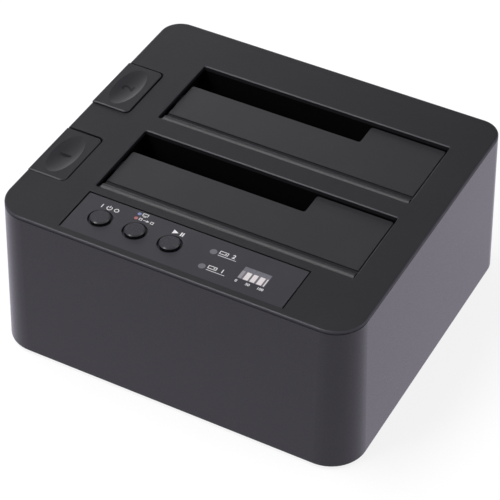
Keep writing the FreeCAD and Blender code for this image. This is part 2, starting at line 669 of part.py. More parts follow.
def make_top_cover():
    """Top plate with both slots, the key notches, the panel recess, a rim, posts and pillars."""
    body = new_body("top_cover")
    rim = "dims.wall + dims.fit_gap"
    pad(body, "lid", "Z", LID_UNDER, TOP, body_outline("0"))
    dress(body, "edge", "Fillet", "dims.cover_edge", at_height(TOP))
    pad(body, "plate", "Z", COVER_UNDER, LID_UNDER, body_outline(rim))
    pad(body, "rim", "Z", f"({COVER_UNDER} - dims.rim_depth)", COVER_UNDER,
        body_outline(rim), body_outline(f"{rim} + dims.rim_thick"))
    pad(body, "pillars", "Z", "dims.pillar_foot", COVER_UNDER,
        *[octagon(x, y, "dims.pillar_radius") for x, y in corner_points("dims.pillar_inset")])
    pad(body, "bay_bosses", "Z", EAR_TOP, COVER_UNDER,
        *[octagon(x, y, "dims.boss_radius") for x, y in all_ear_points()])
    pad(body, "board_posts", "Z", BOARD_TOP, COVER_UNDER,
        *[octagon(x, y, "dims.post_boss_radius") for x, y in control_post_points()])
    slots = [rounded_rectangle(SLOT_LEFT, SLOT_RIGHT, slot_front(bay), slot_rear(bay), "dims.slot_corner")
             for bay in BAYS]
    cut(body, "slots", "Z", COVER_UNDER, TOP, *slots)
    notches = [rounded_rectangle(f"({LEFT} - 8)", f"({LEFT} + dims.eject_length)", eject_front(bay),
                                 f"({eject_front(bay)} + dims.eject_width)",
                                 "(dims.eject_corner + dims.eject_gap)") for bay in BAYS]
    cut(body, "key_notches", "Z", f"({COVER_UNDER} - dims.rim_depth)", TOP, *notches)
    for bay in BAYS:
        dress(body, f"slot_chamfer_{bay}", "Chamfer", "dims.slot_chamfer",
              at_height(TOP, f"({SLOT_LEFT} - 0.1)", f"({SLOT_RIGHT} + 0.1)",
                        f"({slot_front(bay)} - 0.1)", f"({slot_rear(bay)} + 0.1)"))
    cut(body, "panel_recess", "Z", PANEL_UNDER, TOP,
        rectangle(PANEL_LEFT, PANEL_RIGHT, PANEL_FRONT, PANEL_REAR))
    ledge = "dims.panel_ledge"
    cut(body, "panel_window", "Z", COVER_UNDER, PANEL_UNDER,
        rectangle(f"({PANEL_LEFT} + {ledge})", f"({PANEL_RIGHT} - {ledge})",
                  f"({PANEL_FRONT} + {ledge})", f"({PANEL_REAR} - {ledge})"))
    cut(body, "pillar_holes", "Z", "dims.pillar_foot",
        "(dims.pillar_foot + dims.case_screw_length)",
        *[octagon(x, y, "dims.case_screw") for x, y in corner_points("dims.pillar_inset")])
    cut(body, "boss_holes", "Z", EAR_TOP, f"({EAR_TOP} + dims.screw_engage + dims.blind_room)",
        *[octagon(x, y, "dims.small_screw") for x, y in all_ear_points()])
    cut(body, "post_holes", "Z", BOARD_TOP, f"({BOARD_TOP} + dims.screw_engage + dims.blind_room)",
        *[octagon(x, y, "dims.small_screw") for x, y in control_post_points()])
    return body


def make_bottom_cover():
    """Plate inside the wall lip, with vents, foot recesses, board stand-offs and pillar seats."""
    body = new_body("bottom_cover")
    pad(body, "plate", "Z", WALL_FOOT, BASE_TOP,
        body_outline("dims.lip + dims.fit_gap", "dims.wall_draft"))
    corners = corner_points("dims.pillar_inset")
    pad(body, "pillar_seats", "Z", BASE_TOP, "dims.pillar_foot",
        *[octagon(x, y, "(dims.pillar_radius + 1)") for x, y in corners])
    pad(body, "stand_offs", "Z", BASE_TOP, MAIN_UNDER,
        *[octagon(x, y, "dims.stand_off_radius") for x, y in main_board_points()])
    cut(body, "foot_recesses", "Z", WALL_FOOT, "(dims.foot_standoff + dims.foot_recess)",
        *[circle(x, y, "(dims.foot_radius + dims.fit_gap)") for x, y in corners])
    cut(body, "screw_heads", "Z", "(dims.foot_standoff + dims.foot_recess)", SCREW_SEAT,
        *[octagon(x, y, "(2 * dims.case_screw)") for x, y in corners])
    cut(body, "screw_holes", "Z", SCREW_SEAT, "dims.pillar_foot",
        *[octagon(x, y, "(dims.case_screw + dims.screw_gap)") for x, y in corners])
    cut(body, "board_screw_holes", "Z", BASE_TOP, MAIN_UNDER,
        *[octagon(x, y, "dims.small_screw") for x, y in main_board_points()])
    vent = cut(body, "vent", "Z", WALL_FOOT, BASE_TOP, vent_outline(-1), vent_outline(1))
    vents = body.newObject("PartDesign::LinearPattern", "vents")
    vents.Originals = [vent]
    vents.Direction = (vent.Profile[0], ["V_Axis"])
    vents.setExpression("Length", f"{VENT_ROWS - 1} * dims.vent_pitch")
    vents.Occurrences = VENT_ROWS
    body.Tip = vents
    DOC.recompute()
    return body


def vent_outline(side):
    middle = f"({side} * dims.vent_column)"
    return rectangle(f"({middle} - dims.vent_length / 2)", f"({middle} + dims.vent_length / 2)",
                     "(-dims.vent_first - dims.vent_width / 2)", "(-dims.vent_first + dims.vent_width / 2)")


def make_feet():
    """Four rubber feet, glued in their recesses over the case screws."""
    height = "(dims.foot_standoff + dims.foot_recess)"
    feet = []
    for number_of_foot, (x, y) in enumerate(corner_points("dims.pillar_inset"), start=1):
        disc = cylinder(f"foot_disc_{number_of_foot}", "Z", x, y, "0", "dims.foot_radius", height)
        foot = DOC.addObject("Part::Chamfer", f"foot_{number_of_foot}")
        foot.Base = disc
        DOC.recompute()
        lower = [i for i, edge in enumerate(disc.Shape.Edges, start=1)
                 if edge.BoundBox.ZMax < 0.01 and edge.Closed]
        foot.Edges = [(i, 0.6, 0.6) for i in lower]
        feet.append(foot)
    return join("rubber_feet", "Part::Compound", feet)


def screw(name, place, radius, length, head_radius, head_height, direction):
    """A pan-head screw with few faces; direction is +1 when the shank points up from its seat."""
    x, y, seat = place
    start = seat if direction > 0 else f"({seat} - {length})"
    shank = prism(f"{name}_shank", 8, x, y, start, radius, length)
    head_start = f"({seat} - {head_height})" if direction > 0 else seat
    head = prism(f"{name}_head", 12, x, y, head_start, head_radius, head_height)
    return join(name, "Part::MultiFuse", [shank, head])


def make_case_screws():
    screws = [screw(f"case_screw_{i}", (x, y, SCREW_SEAT), "(dims.case_screw - dims.press_gap)",
                    "dims.case_screw_length", "dims.case_head", "dims.case_head_height", 1)
              for i, (x, y) in enumerate(corner_points("dims.pillar_inset"), start=1)]
    return join("case_screws", "Part::Compound", screws)


# ---------------------------------------------------------------------------------------
# Drive wells, flaps and their hinges
# ---------------------------------------------------------------------------------------
def make_bay_frame(bay):
    """Drive well of one bay, with its eject guide, lever lugs, hinge seats and two ears."""
    body = new_body(f"bay_frame_{bay}")
    well_front = f"({slot_front(bay)} - dims.well_gap)"
    well_rear = f"({slot_rear(bay)} + dims.well_gap)"
    middle = eject_middle(bay)
    pad(body, "block", "Z", FLOOR_UNDER, COVER_UNDER,
        rounded_rectangle(FRAME_LEFT, FRAME_RIGHT, f"({well_front} - dims.bay_wall)",
                          f"({well_rear} + dims.bay_wall)", "dims.frame_corner"))
    pad(body, "ears", "Z", EAR_UNDER, EAR_TOP, *[ear_outline(x, y) for x, y in ear_points(bay)])
    pad(body, "shelf", "Z", SHELF_UNDER, SHELF_TOP,
        rectangle(f"({POST_X} - dims.shelf_reach)", f"({FRAME_LEFT} + dims.weld)",
                  f"({middle} - dims.shelf_half)", f"({middle} + dims.shelf_half)"))
    for side, (low, high) in enumerate(lug_stations(bay), start=1):
        pad(body, f"lug_{side}", "Y", low, high, lug_outline())
    cut(body, "well", "Z", "dims.bay_floor_top", COVER_UNDER,
        rectangle(WELL_LEFT, WELL_RIGHT, well_front, well_rear))
    cut(body, "socket_window", "Z", FLOOR_UNDER, "dims.bay_floor_top", socket_outline(bay, "dims.socket_gap"))
    cut(body, "paddle_window", "Z", FLOOR_UNDER, "dims.bay_floor_top",
        rectangle(WELL_LEFT, f"({LEVER_X} + dims.paddle_reach + 2 * dims.paddle_room)",
                  f"({paddle_front(bay)} - dims.paddle_room)", f"({paddle_rear(bay)} + dims.paddle_room)"))
    cut(body, "lever_window", "X", FRAME_LEFT, WELL_LEFT,
        rectangle(f"({paddle_front(bay)} - dims.paddle_room)", f"({paddle_rear(bay)} + dims.paddle_room)",
                  FLOOR_UNDER, "(dims.lever_height + dims.lever_rise)"))
    lugs = lug_stations(bay)
    cut(body, "lever_holes", "Y", lugs[0][0], lugs[1][1],
        circle(LEVER_X, "dims.lever_height", "(dims.lever_pin + dims.pin_gap)"))
    cut(body, "rod_hole", "Z", SHELF_UNDER, SHELF_TOP,
        circle(POST_X, middle, "(dims.post_radius + dims.running_gap)"))
    pin_slot(body, bay)
    cut(body, "ear_holes", "Z", EAR_UNDER, EAR_TOP,
        *[octagon(x, y, "(dims.small_screw + dims.screw_gap)") for x, y in ear_points(bay)])
    return body


def ear_outline(x, y):
    half = "dims.ear_half"
    return rectangle(f"({x} - {half})", f"({x} + {half})", f"({y} - {half})", f"({y} + {half})")


def lug_stations(bay):
    """Front and rear lug of a lever pin, along Y, just past the hub's ends."""
    hub_front, hub_rear = hub_ends(bay)
    return [(f"({hub_front} - dims.lug_gap - dims.lug_thick)", f"({hub_front} - dims.lug_gap)"),
            (f"({hub_rear} + dims.lug_gap)", f"({hub_rear} + dims.lug_gap + dims.lug_thick)")]


def hub_ends(bay):
    return f"({eject_middle(bay)} - dims.lever_width / 2)", paddle_rear(bay)


def lug_outline():
    return rectangle(f"({LEVER_X} - dims.lever_pin - dims.lug_wall)", f"({FRAME_LEFT} + dims.weld)",
                     FLOOR_UNDER, "(dims.lever_height + dims.lever_pin + dims.lug_wall)")


def socket_outline(bay, gap):
    middle_x = f"({SLOT_LEFT} + dims.socket_datum)"
    middle_y = f"({slot_rear(bay)} - dims.socket_setback)"
    return rectangle(f"({middle_x} - dims.socket_length / 2 - {gap})",
                     f"({middle_x} + dims.socket_length / 2 + {gap})",
                     f"({middle_y} - dims.socket_width / 2 - {gap})",
                     f"({middle_y} + dims.socket_width / 2 + {gap})")


def pin_slot(body, bay):
    """Open-topped seats for a hinge pin in both end walls, and the hole for its spring's leg."""
    half = "dims.pin_radius"
    middle = pivot_y(bay)
    for side, (low, high) in enumerate(((FRAME_LEFT, WELL_LEFT), (WELL_RIGHT, FRAME_RIGHT)), start=1):
        cut(body, f"pin_round_{side}", "X", low, high, circle(middle, PIVOT_Z, half))
        cut(body, f"pin_throat_{side}", "X", low, high,
            rectangle(f"({middle} - {half})", f"({middle} + {half})", PIVOT_Z, COVER_UNDER))
    cut(body, "leg_hole", "X", WELL_RIGHT, FRAME_RIGHT, spring_leg_hole(bay, FIXED_LEG_Z))


def make_flap(bay):
    """Spring-loaded door: a ribbed plate on a hinge bead, cut away over the small slot."""
    body = new_body(f"flap_{bay}")
    front = pivot_y(bay)
    tab_rear = f"({slot_rear(bay)} - dims.flap_rear_gap)"
    door_rear = f"({slot_rear(bay)} - dims.small_slot_width)"
    notch_right = f"({SLOT_LEFT} + dims.small_slot_length)"
    pad(body, "bead", "X", FLAP_LEFT, FLAP_RIGHT, circle(front, PIVOT_Z, "dims.bead_radius"))
    pad(body, "plate", "X", FLAP_LEFT, FLAP_RIGHT, rectangle(front, tab_rear, PLATE_UNDER, PLATE_TOP))
    cut(body, "small_slot", "Z", PLATE_UNDER, PLATE_TOP,
        rectangle(f"({FLAP_LEFT} - 1)", notch_right, door_rear, f"({tab_rear} + 1)"))
    corner = [FLAP_LEFT, notch_right, FLAP_RIGHT]
    picks = [upright_at(f"({x} - 0.01)", f"({x} + 0.01)") for x in corner]
    behind = number(front) + 2 * number("dims.bead_radius")
    dress(body, "corners", "Fillet", "dims.flap_corner",
          lambda edge: any(pick(edge) for pick in picks) and edge.BoundBox.Center.y > behind)
    dress(body, "plate_edge", "Chamfer", "dims.flap_edge",
          at_height(PLATE_TOP, front=f"({front} + 2 * dims.bead_radius)"))
    cut(body, "groove", "X", FLAP_LEFT, FLAP_RIGHT,
        circle(f"({front} + dims.groove_back)", f"({PLATE_TOP} + dims.groove_rise)", "dims.flap_groove"))
    rib_front = f"({front} + dims.bead_radius - 2 * dims.weld)"
    ribs = [rectangle(f"({x} - dims.rib_half)", f"({x} + dims.rib_half)", rib_front,
                      f"({door_rear} - dims.rib_setback)") for x in flap_rib_places()]
    pad(body, "ribs", "Z", f"({PLATE_UNDER} - dims.rib_drop)", PLATE_UNDER, *ribs)
    left_rear = f"({door_rear} - dims.flap_ear_setback)"
    left_ear = rectangle(f"({SLOT_LEFT} - dims.ear_catch)", f"({FLAP_LEFT} + dims.ear_root)",
                         f"({left_rear} - dims.ear_length)", left_rear)
    right_rear = f"({tab_rear} - dims.flap_ear_setback)"
    right_ear = rectangle(f"({FLAP_RIGHT} - dims.ear_root)", f"({SLOT_RIGHT} + dims.ear_catch)",
                          f"({right_rear} - dims.ear_length)", right_rear)
    pad(body, "ears", "Z", PLATE_UNDER, f"({COVER_UNDER} - dims.stop_gap)", left_ear, right_ear)
    cut(body, "pin_bore", "X", FLAP_LEFT, FLAP_RIGHT,
        circle(front, PIVOT_Z, "(dims.pin_radius + dims.running_gap)"))
    coil_end = f"({FLAP_RIGHT} - dims.coil_length - 1)"
    cut(body, "spring_bore", "X", coil_end, FLAP_RIGHT,
        circle(front, PIVOT_Z, "(dims.coil_radius + dims.coil_wire + dims.coil_room)"))
    cut(body, "leg_bore", "X", f"({coil_end} - dims.coil_leg)", coil_end,
        spring_leg_hole(bay, MOVING_LEG_Z))
    return body


def flap_rib_places():
    """Middles of the four ribs under a flap, evenly spread."""
    return [f"({FLAP_LEFT} + {share} * ({FLAP_RIGHT} - {FLAP_LEFT}))" for share in RIB_SHARES]


def spring_leg_hole(bay, height):
    """Hole along the pin's direction for one straight leg of the flap's spring."""
    return octagon(pivot_y(bay), height, "(dims.coil_wire + dims.leg_clearance)")


def make_hinge_pin(bay):
    name = f"hinge_pin_{bay}"
    start = f"({WELL_LEFT} - dims.bay_wall)"
    return cylinder(name, "X", start, pivot_y(bay), PIVOT_Z, "(dims.pin_radius - dims.pin_gap)",
                    f"({FRAME_RIGHT} - {start})")


def coil(radius, length, turns, start_angle=0.0):
    """Points of a coil as pairs across its axis and a run along it, 16 to a turn."""
    steps = round(turns * COIL_STEPS)
    angles = [start_angle + 2 * math.pi * step / COIL_STEPS for step in range(steps + 1)]
    return [(radius * math.cos(angle), radius * math.sin(angle), length * step / steps)
            for step, angle in enumerate(angles)]


def bent_wire(name, points, radius):
    """A six-sided wire with mitred bends through a list of points."""
    along = (points[1] - points[0]).normalize()
    side = along.cross(vector(1, 1, 1)).normalize() * radius
    up = along.cross(side)
    angles = [k * math.pi / 3 for k in range(6)]
    section = [points[0] + side * math.cos(a) + up * math.sin(a) for a in angles]
    shell = Part.BRepOffsetAPI.MakePipeShell(Part.makePolygon(points))
    shell.setTransitionMode(1)
    shell.add(Part.makePolygon(section + [section[0]]), False, False)
    shell.build()
    shell.makeSolid()
    wire = DOC.addObject("Part::Feature", name)
    wire.Shape = shell.shape()
    return wire


def make_flap_spring(bay):
    """Torsion spring round the hinge pin, inside the right end of the flap's bead."""
    start = number(f"({FLAP_RIGHT} - dims.coil_length - 0.5)")
    y = number(pivot_y(bay))
    z = number(PIVOT_Z)
    turns = coil(number("dims.coil_radius"), number("dims.coil_length"), number("dims.coil_turns"),
                 math.pi / 2)
    moving_leg = vector(start - number("dims.coil_leg"), y, number(MOVING_LEG_Z))
    fixed_leg = vector(number(f"({FRAME_RIGHT} - 0.3)"), y, number(FIXED_LEG_Z))
    middle = [vector(start + run, y + across, z + up) for across, up, run in turns]
    return bent_wire(f"flap_spring_{bay}", [moving_leg, *middle, fixed_leg], number("dims.coil_wire"))


# ---------------------------------------------------------------------------------------
# Eject mechanism
# ---------------------------------------------------------------------------------------
def make_eject_key(bay):
    """Key that folds over the left edge, with a finger dish, two skirts and a push rod."""
    body = new_body(f"eject_key_{bay}")
    middle = eject_middle(bay)
    top = eject_top(bay)
    under = f"({top} - dims.eject_thick)"
    front = f"({eject_front(bay)} + dims.eject_gap)"
    rear = f"({eject_front(bay)} + dims.eject_width - dims.eject_gap)"
    right = f"({LEFT} + dims.eject_length - dims.eject_gap)"
    skirt_foot = f"({TOP} - dims.eject_skirt)"
    inner_foot = f"({TOP} - dims.eject_inner_skirt)"
    profile = polygon((LEFT, skirt_foot), (f"({LEFT} + 1.8)", skirt_foot), (f"({LEFT} + 1.8)", under),
                      (f"({LEFT} + 2.9)", under), (f"({LEFT} + 2.9)", inner_foot),
                      (f"({LEFT} + 4.3)", inner_foot), (f"({LEFT} + 4.3)", under), (right, under),
                      (right, top), (LEFT, top))
    pad(body, "profile", "Y", front, rear, profile)
    dress(body, "corners", "Fillet", "dims.eject_corner", upright_at(f"({right} - 0.01)", f"({right} + 0.01)"))
    dress(body, "rim", "Chamfer", "dims.key_rim", at_height(top))
    long_radius = "(dims.dish_length ^ 2 / (8 * dims.dish_depth))"
    short_radius = "(dims.dish_width ^ 2 / (8 * dims.dish_depth))"
    dish = body.newObject("PartDesign::SubtractiveTorus", "dish")
    dish.setExpression("Radius1", f"{long_radius} - {short_radius}")
    dish.setExpression("Radius2", short_radius)
    plane = [feature for feature in body.Origin.OriginFeatures if feature.Role == "XY_Plane"][0]
    dish.AttachmentSupport = [(plane, "")]
    dish.MapMode = "FlatFace"
    dish.AttachmentOffset = FreeCAD.Placement(vector(0, 0, 0), TURNS["X"])
    dish.setExpression("AttachmentOffset.Base.x", f"({LEFT} + {right}) / 2")
    dish.setExpression("AttachmentOffset.Base.y", middle)
    dish.setExpression("AttachmentOffset.Base.z", f"{top} - dims.dish_depth + {long_radius}")
    measured(body, dish, grows=False)
    pad(body, "push_rod", "Z", post_foot(), under, circle(POST_X, eject_middle(bay), "dims.post_radius"))
    dress(body, "rod_tip", "Chamfer", "(0.85 * dims.post_radius)", at_height(post_foot()))
    return body


def post_foot():
    return "(dims.lever_height + dims.lever_pad + 0.1)"


def make_eject_spring(bay):
    """Compression spring on the push rod, between its shelf and the key."""
    wire = number("dims.spring_wire")
    foot = number(f"({SHELF_TOP} + dims.running_gap)") + wire
    head = number(f"({eject_top(bay)} - dims.eject_thick - dims.running_gap)") - wire
    x = number(POST_X)
    y = number(eject_middle(bay))
    turns = coil(number("dims.spring_radius"), head - foot, number("dims.spring_turns"))
    return bent_wire(f"eject_spring_{bay}", [vector(x + across, y + up, foot + run)
                                             for across, up, run in turns], wire)


def make_eject_lever(bay):
    """Rocker: the key's rod presses its short arm, and its paddle lifts the drive."""
    body = new_body(f"eject_lever_{bay}")
    hub_front, hub_rear = hub_ends(bay)
    pivot = "dims.lever_height"
    pad(body, "hub", "Y", hub_front, hub_rear, circle(LEVER_X, pivot, "dims.lever_hub"))
    pad(body, "arm", "Y", hub_front, f"({hub_front} + dims.lever_width)",
        polygon((f"({POST_X} - dims.post_radius)", f"({pivot} + dims.lever_pad - dims.lever_thick)"),
                (LEVER_X, f"({pivot} - dims.lever_pad)"), (LEVER_X, f"({pivot} + dims.lever_pad)"),
                (f"({POST_X} - dims.post_radius)", f"({pivot} + dims.lever_pad)")))
    tip = f"({LEVER_X} + dims.paddle_reach)"
    paddle_top = f"({pivot} - dims.paddle_drop)"
    paddle_under = f"({paddle_top} - dims.lever_thick)"
    pad(body, "paddle", "Y", paddle_front(bay), hub_rear,
        polygon((LEVER_X, f"({pivot} - dims.lever_hub + 0.1)"), (f"({LEVER_X} + 3)", paddle_under),
                (tip, paddle_under), (tip, paddle_top), (LEVER_X, paddle_top)))
    dress(body, "paddle_tip", "Fillet", "dims.paddle_tip", lambda edge: edge.BoundBox.XMin > number(tip) - 0.01
          and edge.BoundBox.YLength > 1 and edge.BoundBox.ZMin > number(paddle_top) - 0.01)
    cut(body, "pin_bore", "Y", hub_front, hub_rear,
        circle(LEVER_X, pivot, "(dims.lever_pin + dims.running_gap)"))
    return body


def make_lever_pin(bay):
    low = lug_stations(bay)[0][0]
    high = lug_stations(bay)[1][1]
    return cylinder(f"lever_pin_{bay}", "Y", LEVER_X, low, "dims.lever_height", "dims.lever_pin",
                    f"({high} - {low})")


# ---------------------------------------------------------------------------------------
# Control panel, keys and lamps
# ---------------------------------------------------------------------------------------
def make_control_panel():
    """Flush inlay with the key holes, the lamp holes and the progress window."""
    body = new_body("control_panel")
    gap = "dims.panel_gap"
    pad(body, "plate", "Z", PANEL_UNDER, TOP,
        rectangle(f"({PANEL_LEFT} + {gap})", f"({PANEL_RIGHT} - {gap})", PANEL_FRONT,
                  f"({PANEL_REAR} - {gap})"))
    cut(body, "key_holes", "Z", PANEL_UNDER, TOP,
        *[circle(key_x(i), KEY_Y, "dims.key_hole") for i in range(len(KEY_NAMES))])
    cut(body, "lamp_holes", "Z", PANEL_UNDER, TOP,
        *[circle(x, y, f"({radius} + dims.press_gap)") for _, x, y, radius in lamps()])
    left, right, front, rear = window_sides("dims.press_gap")
    cut(body, "window", "Z", PANEL_UNDER, TOP, rectangle(left, right, front, rear))
    return body


def lamps():
    """Name, place and radius of each round light pipe."""
    status_x = along_panel("dims.lamp_share")
    drive_x = along_panel("dims.drive_lamp_share")
    return [("power_light", status_x, f"({FRONT} + dims.lamp_blue_row)", "dims.lamp_radius"),
            ("error_light", status_x, f"({FRONT} + dims.lamp_red_row)", "dims.lamp_radius"),
            ("drive_light_1", drive_x, f"({FRONT} + dims.drive_lamp_row_1)", "dims.drive_lamp_radius"),
            ("drive_light_2", drive_x, f"({FRONT} + dims.drive_lamp_row_2)", "dims.drive_lamp_radius")]


def window_sides(gap):
    middle = along_panel("dims.window_share")
    left = f"({middle} - dims.window_length / 2 - {gap})"
    right = f"({middle} + dims.window_length / 2 + {gap})"
    front = f"({FRONT} + dims.window_row - {gap})"
    rear = f"({FRONT} + dims.window_row + dims.window_depth + {gap})"
    return left, right, front, rear


LED_HEIGHT = "1"


def make_lights():
    """Light pipes from the lamps on the control board up to the panel's face."""
    start = f"({BOARD_TOP} + {LED_HEIGHT})"
    return [cylinder(name, "Z", x, y, start, radius, f"({TOP} - {start})")
            for name, x, y, radius in lamps()]


def make_progress_window():
    left, right, front, rear = window_sides("0")
    return box("progress_window", left, right, front, rear, f"({PANEL_UNDER} - 1.8)", TOP)


def make_lamp_chips():
    """Surface-mounted lamps: one under each light pipe and four under the progress window."""
    chips = []
    for name, x, y, _ in lamps():
        chips.append(box(f"{name}_chip", f"({x} - 0.8)", f"({x} + 0.8)", f"({y} - 0.5)", f"({y} + 0.5)",
                         BOARD_TOP, f"({BOARD_TOP} + {LED_HEIGHT})"))
    left = window_sides("0")[0]
    middle_y = f"({FRONT} + dims.window_row + dims.window_depth / 2)"
    for step in range(4):
        x = f"({left} + dims.window_length * {(step + 0.5) / 4})"
        chips.append(box(f"progress_chip_{step}", f"({x} - 0.8)", f"({x} + 0.8)", f"({middle_y} - 0.5)",
                         f"({middle_y} + 0.5)", BOARD_TOP, f"({BOARD_TOP} + {LED_HEIGHT})"))
    return join("indicator_lamps", "Part::Compound", chips)


def make_key(index):
    """Round key cap with a retaining flange and a foot on its switch plunger."""
    body = new_body(f"{KEY_NAMES[index]}_button")
    x = key_x(index)
    flange_top = f"({PANEL_UNDER} - 0.05)"
    flange_under = f"({SWITCH_TOP} + {PLUNGER_RISE} + 0.5)"
    top = f"({TOP} + dims.key_rise)"
    pad(body, "cap", "Z", flange_under, top, circle(x, KEY_Y, "dims.key_radius"))
    pad(body, "flange", "Z", flange_under, flange_top, circle(x, KEY_Y, "dims.key_flange"))
    pad(body, "foot", "Z", f"({SWITCH_TOP} + {PLUNGER_RISE})", flange_under,
        octagon(x, KEY_Y, "dims.key_foot_radius"))
    dress(body, "cap_edge", "Chamfer", "0.4", at_height(top))
    return body


def make_plunger(index):
    length = f"({PLUNGER_RISE} + 1)"
    return cylinder(f"{KEY_NAMES[index]}_plunger", "Z", key_x(index), KEY_Y, f"({SWITCH_TOP} - 1)",
                    "dims.plunger_radius", length)


def make_switches():
    """Three square key switches, each bored for its plunger."""
    bodies = []
    depth = f"(1 + dims.key_travel + {PLUNGER_ROOM})"
    half = "dims.switch_size / 2"
    for index, name in enumerate(KEY_NAMES):
        x = key_x(index)
        block = box(f"{name}_switch_block", f"({x} - {half})", f"({x} + {half})", f"({KEY_Y} - {half})",
                    f"({KEY_Y} + {half})", BOARD_TOP, SWITCH_TOP)
        bore = cylinder(f"{name}_switch_bore", "Z", x, KEY_Y, f"({SWITCH_TOP} - {depth})",
                        "(dims.plunger_radius + dims.running_gap)", depth)
        bodies.append(carve(f"{name}_switch", block, bore))
    return join("key_switches", "Part::Compound", bodies)


def make_control_board():
    body = new_body("control_board")
    side = "dims.control_board_side"
    pad(body, "plate", "Z", BOARD_UNDER, BOARD_TOP,
        rounded_rectangle(f"({PANEL_LEFT} - {side})", f"({PANEL_RIGHT} + {side})", f"({KEY_Y} - 8.6)",
                          f"({KEY_Y} + 10.6)", "1"))
    cut(body, "holes", "Z", BOARD_UNDER, BOARD_TOP,
        *[octagon(x, y, "(dims.small_screw + dims.screw_gap)") for x, y in control_post_points()])
    return body


# ---------------------------------------------------------------------------------------
# Main board, sockets, ports and cable
# ---------------------------------------------------------------------------------------
BOARD_LEFT = f"({LEFT} + dims.main_board_side)"
BOARD_RIGHT = f"({RIGHT} - dims.main_board_right)"
BOARD_FRONT = f"({FRONT} + dims.main_board_end)"
BOARD_REAR = f"({REAR} - dims.main_board_rear)"


def main_board_points():
    inset = "dims.board_hole_inset"
    return [(x, y) for x in (f"({BOARD_LEFT} + {inset})", f"({BOARD_RIGHT} - {inset})")
            for y in (f"({BOARD_FRONT} + {inset})", f"({BOARD_REAR} - {inset})")]


def make_main_board():
    body = new_body("main_board")
    pad(body, "plate", "Z", MAIN_UNDER, MAIN_TOP,
        rounded_rectangle(BOARD_LEFT, BOARD_RIGHT, BOARD_FRONT, BOARD_REAR, "1.5"))
    cut(body, "holes", "Z", MAIN_UNDER, MAIN_TOP,
        *[octagon(x, y, "(dims.small_screw + dims.screw_gap)") for x, y in main_board_points()])
    return body


def make_drive_socket(bay):
    """Drive receptacle: a housing with one short and one long contact slot."""
    body = new_body(f"drive_socket_{bay}")
    top = f"({MAIN_TOP} + dims.socket_height)"
    middle_x = f"({SLOT_LEFT} + dims.socket_datum)"
    middle_y = f"({slot_rear(bay)} - dims.socket_setback)"
    pad(body, "housing", "Z", MAIN_TOP, top, socket_outline(bay, "0"))
    data = rectangle(f"({middle_x} - 18.5)", f"({middle_x} - 7.5)", f"({middle_y} - 0.9)",
                     f"({middle_y} + 0.9)")
    power = rectangle(f"({middle_x} - 3.5)", f"({middle_x} + 18)", f"({middle_y} - 0.9)",
                      f"({middle_y} + 0.9)")
    cut(body, "contact_slots", "Z", f"({top} - 6)", top, data, power)
    dress(body, "lead_in", "Chamfer", "0.6", at_height(top, f"({middle_x} - dims.socket_length / 2 - 0.1)",
          f"({middle_x} + dims.socket_length / 2 + 0.1)", f"({middle_y} - dims.socket_width / 2 - 0.1)",
          f"({middle_y} - dims.socket_width / 2 + 0.1)"))
    return body


def make_usb_port():
    """Square peripheral port: a metal shell round a lower and an upper contact tongue."""
    middle = f"({RIGHT} - dims.usb_column)"
    face = f"({REAR} + dims.port_proud)"
    start = f"({face} - dims.usb_depth)"
    body = new_body("usb_port")
    half = "dims.usb_width / 2"
    top = f"({MAIN_TOP} + dims.usb_height)"
    pad(body, "housing", "Y", start, face, rectangle(f"({middle} - {half})", f"({middle} + {half})",
                                                     MAIN_TOP, top))
    cut(body, "mouth", "Y", f"({face} - 9)", face,
        rectangle(f"({middle} - 4.3)", f"({middle} + 4.3)", f"({MAIN_TOP} + 0.8)", f"({MAIN_TOP} + 8.8)"),
        rectangle(f"({middle} - 2.8)", f"({middle} + 2.8)", f"({MAIN_TOP} + 9)", f"({MAIN_TOP} + 12)"))
    pad(body, "tongue", "Y", f"({face} - 9.5)", f"({face} - 1)",
        rectangle(f"({middle} - 2.8)", f"({middle} + 2.8)", f"({MAIN_TOP} + 3.2)", f"({MAIN_TOP} + 6.4)"))
    return body


def make_power_inlet():
    """Barrel power inlet with its centre pin."""
    middle = f"({RIGHT} - dims.power_column)"
    axis_z = f"({MAIN_TOP} + 6.3)"
    face = f"({REAR} + dims.port_proud)"
    half = "dims.power_width / 2"
    body = new_body("power_inlet")
    pad(body, "housing", "Y", f"({face} - dims.power_depth)", face,
        rectangle(f"({middle} - {half})", f"({middle} + {half})", MAIN_TOP,
                  f"({MAIN_TOP} + dims.power_height)"))
    cut(body, "barrel", "Y", f"({face} - 10)", face, circle(middle, axis_z, "dims.power_bore"))
    pad(body, "centre_pin", "Y", f"({face} - 10.5)", f"({face} - 1)", circle(middle, axis_z, "1"))
    return body


def make_board_parts():
    """Bridge chips and capacitors that the main board carries."""
    chips = [(0.2, 6, 14, 14, 1.2), (0.72, 6, 10, 12, 1.0)]
    made = []
    for i, (share, back, wide, deep, tall) in enumerate(chips, start=1):
        x = f"({BOARD_LEFT} + {share} * ({BOARD_RIGHT} - {BOARD_LEFT}))"
        y = f"({BOARD_FRONT} + {back})"
        made.append(box(f"chip_{i}", f"({x} - {wide / 2})", f"({x} + {wide / 2})", y, f"({y} + {deep})",
                        MAIN_TOP, f"({MAIN_TOP} + {tall})"))
    cans = []
    for i in range(3):
        x = f"({RIGHT} - dims.power_column - 14 - {9 * i})"
        cans.append(prism(f"can_{i + 1}", 16, x, f"({BOARD_REAR} - 9)", MAIN_TOP, "3.15", "8"))
    return [join("bridge_chips", "Part::Compound", made), join("capacitors", "Part::Compound", cans)]


RIBBON_X = along_panel("dims.ribbon_share")
RIBBON_TOP_Y = f"({FRONT} + 8)"
RIBBON_FOOT_Y = f"({BOARD_FRONT} + 8)"
RIBBON_TOP_Z = f"({BOARD_UNDER} - 3)"
RIBBON_FOOT_Z = f"({MAIN_TOP} + 3)"


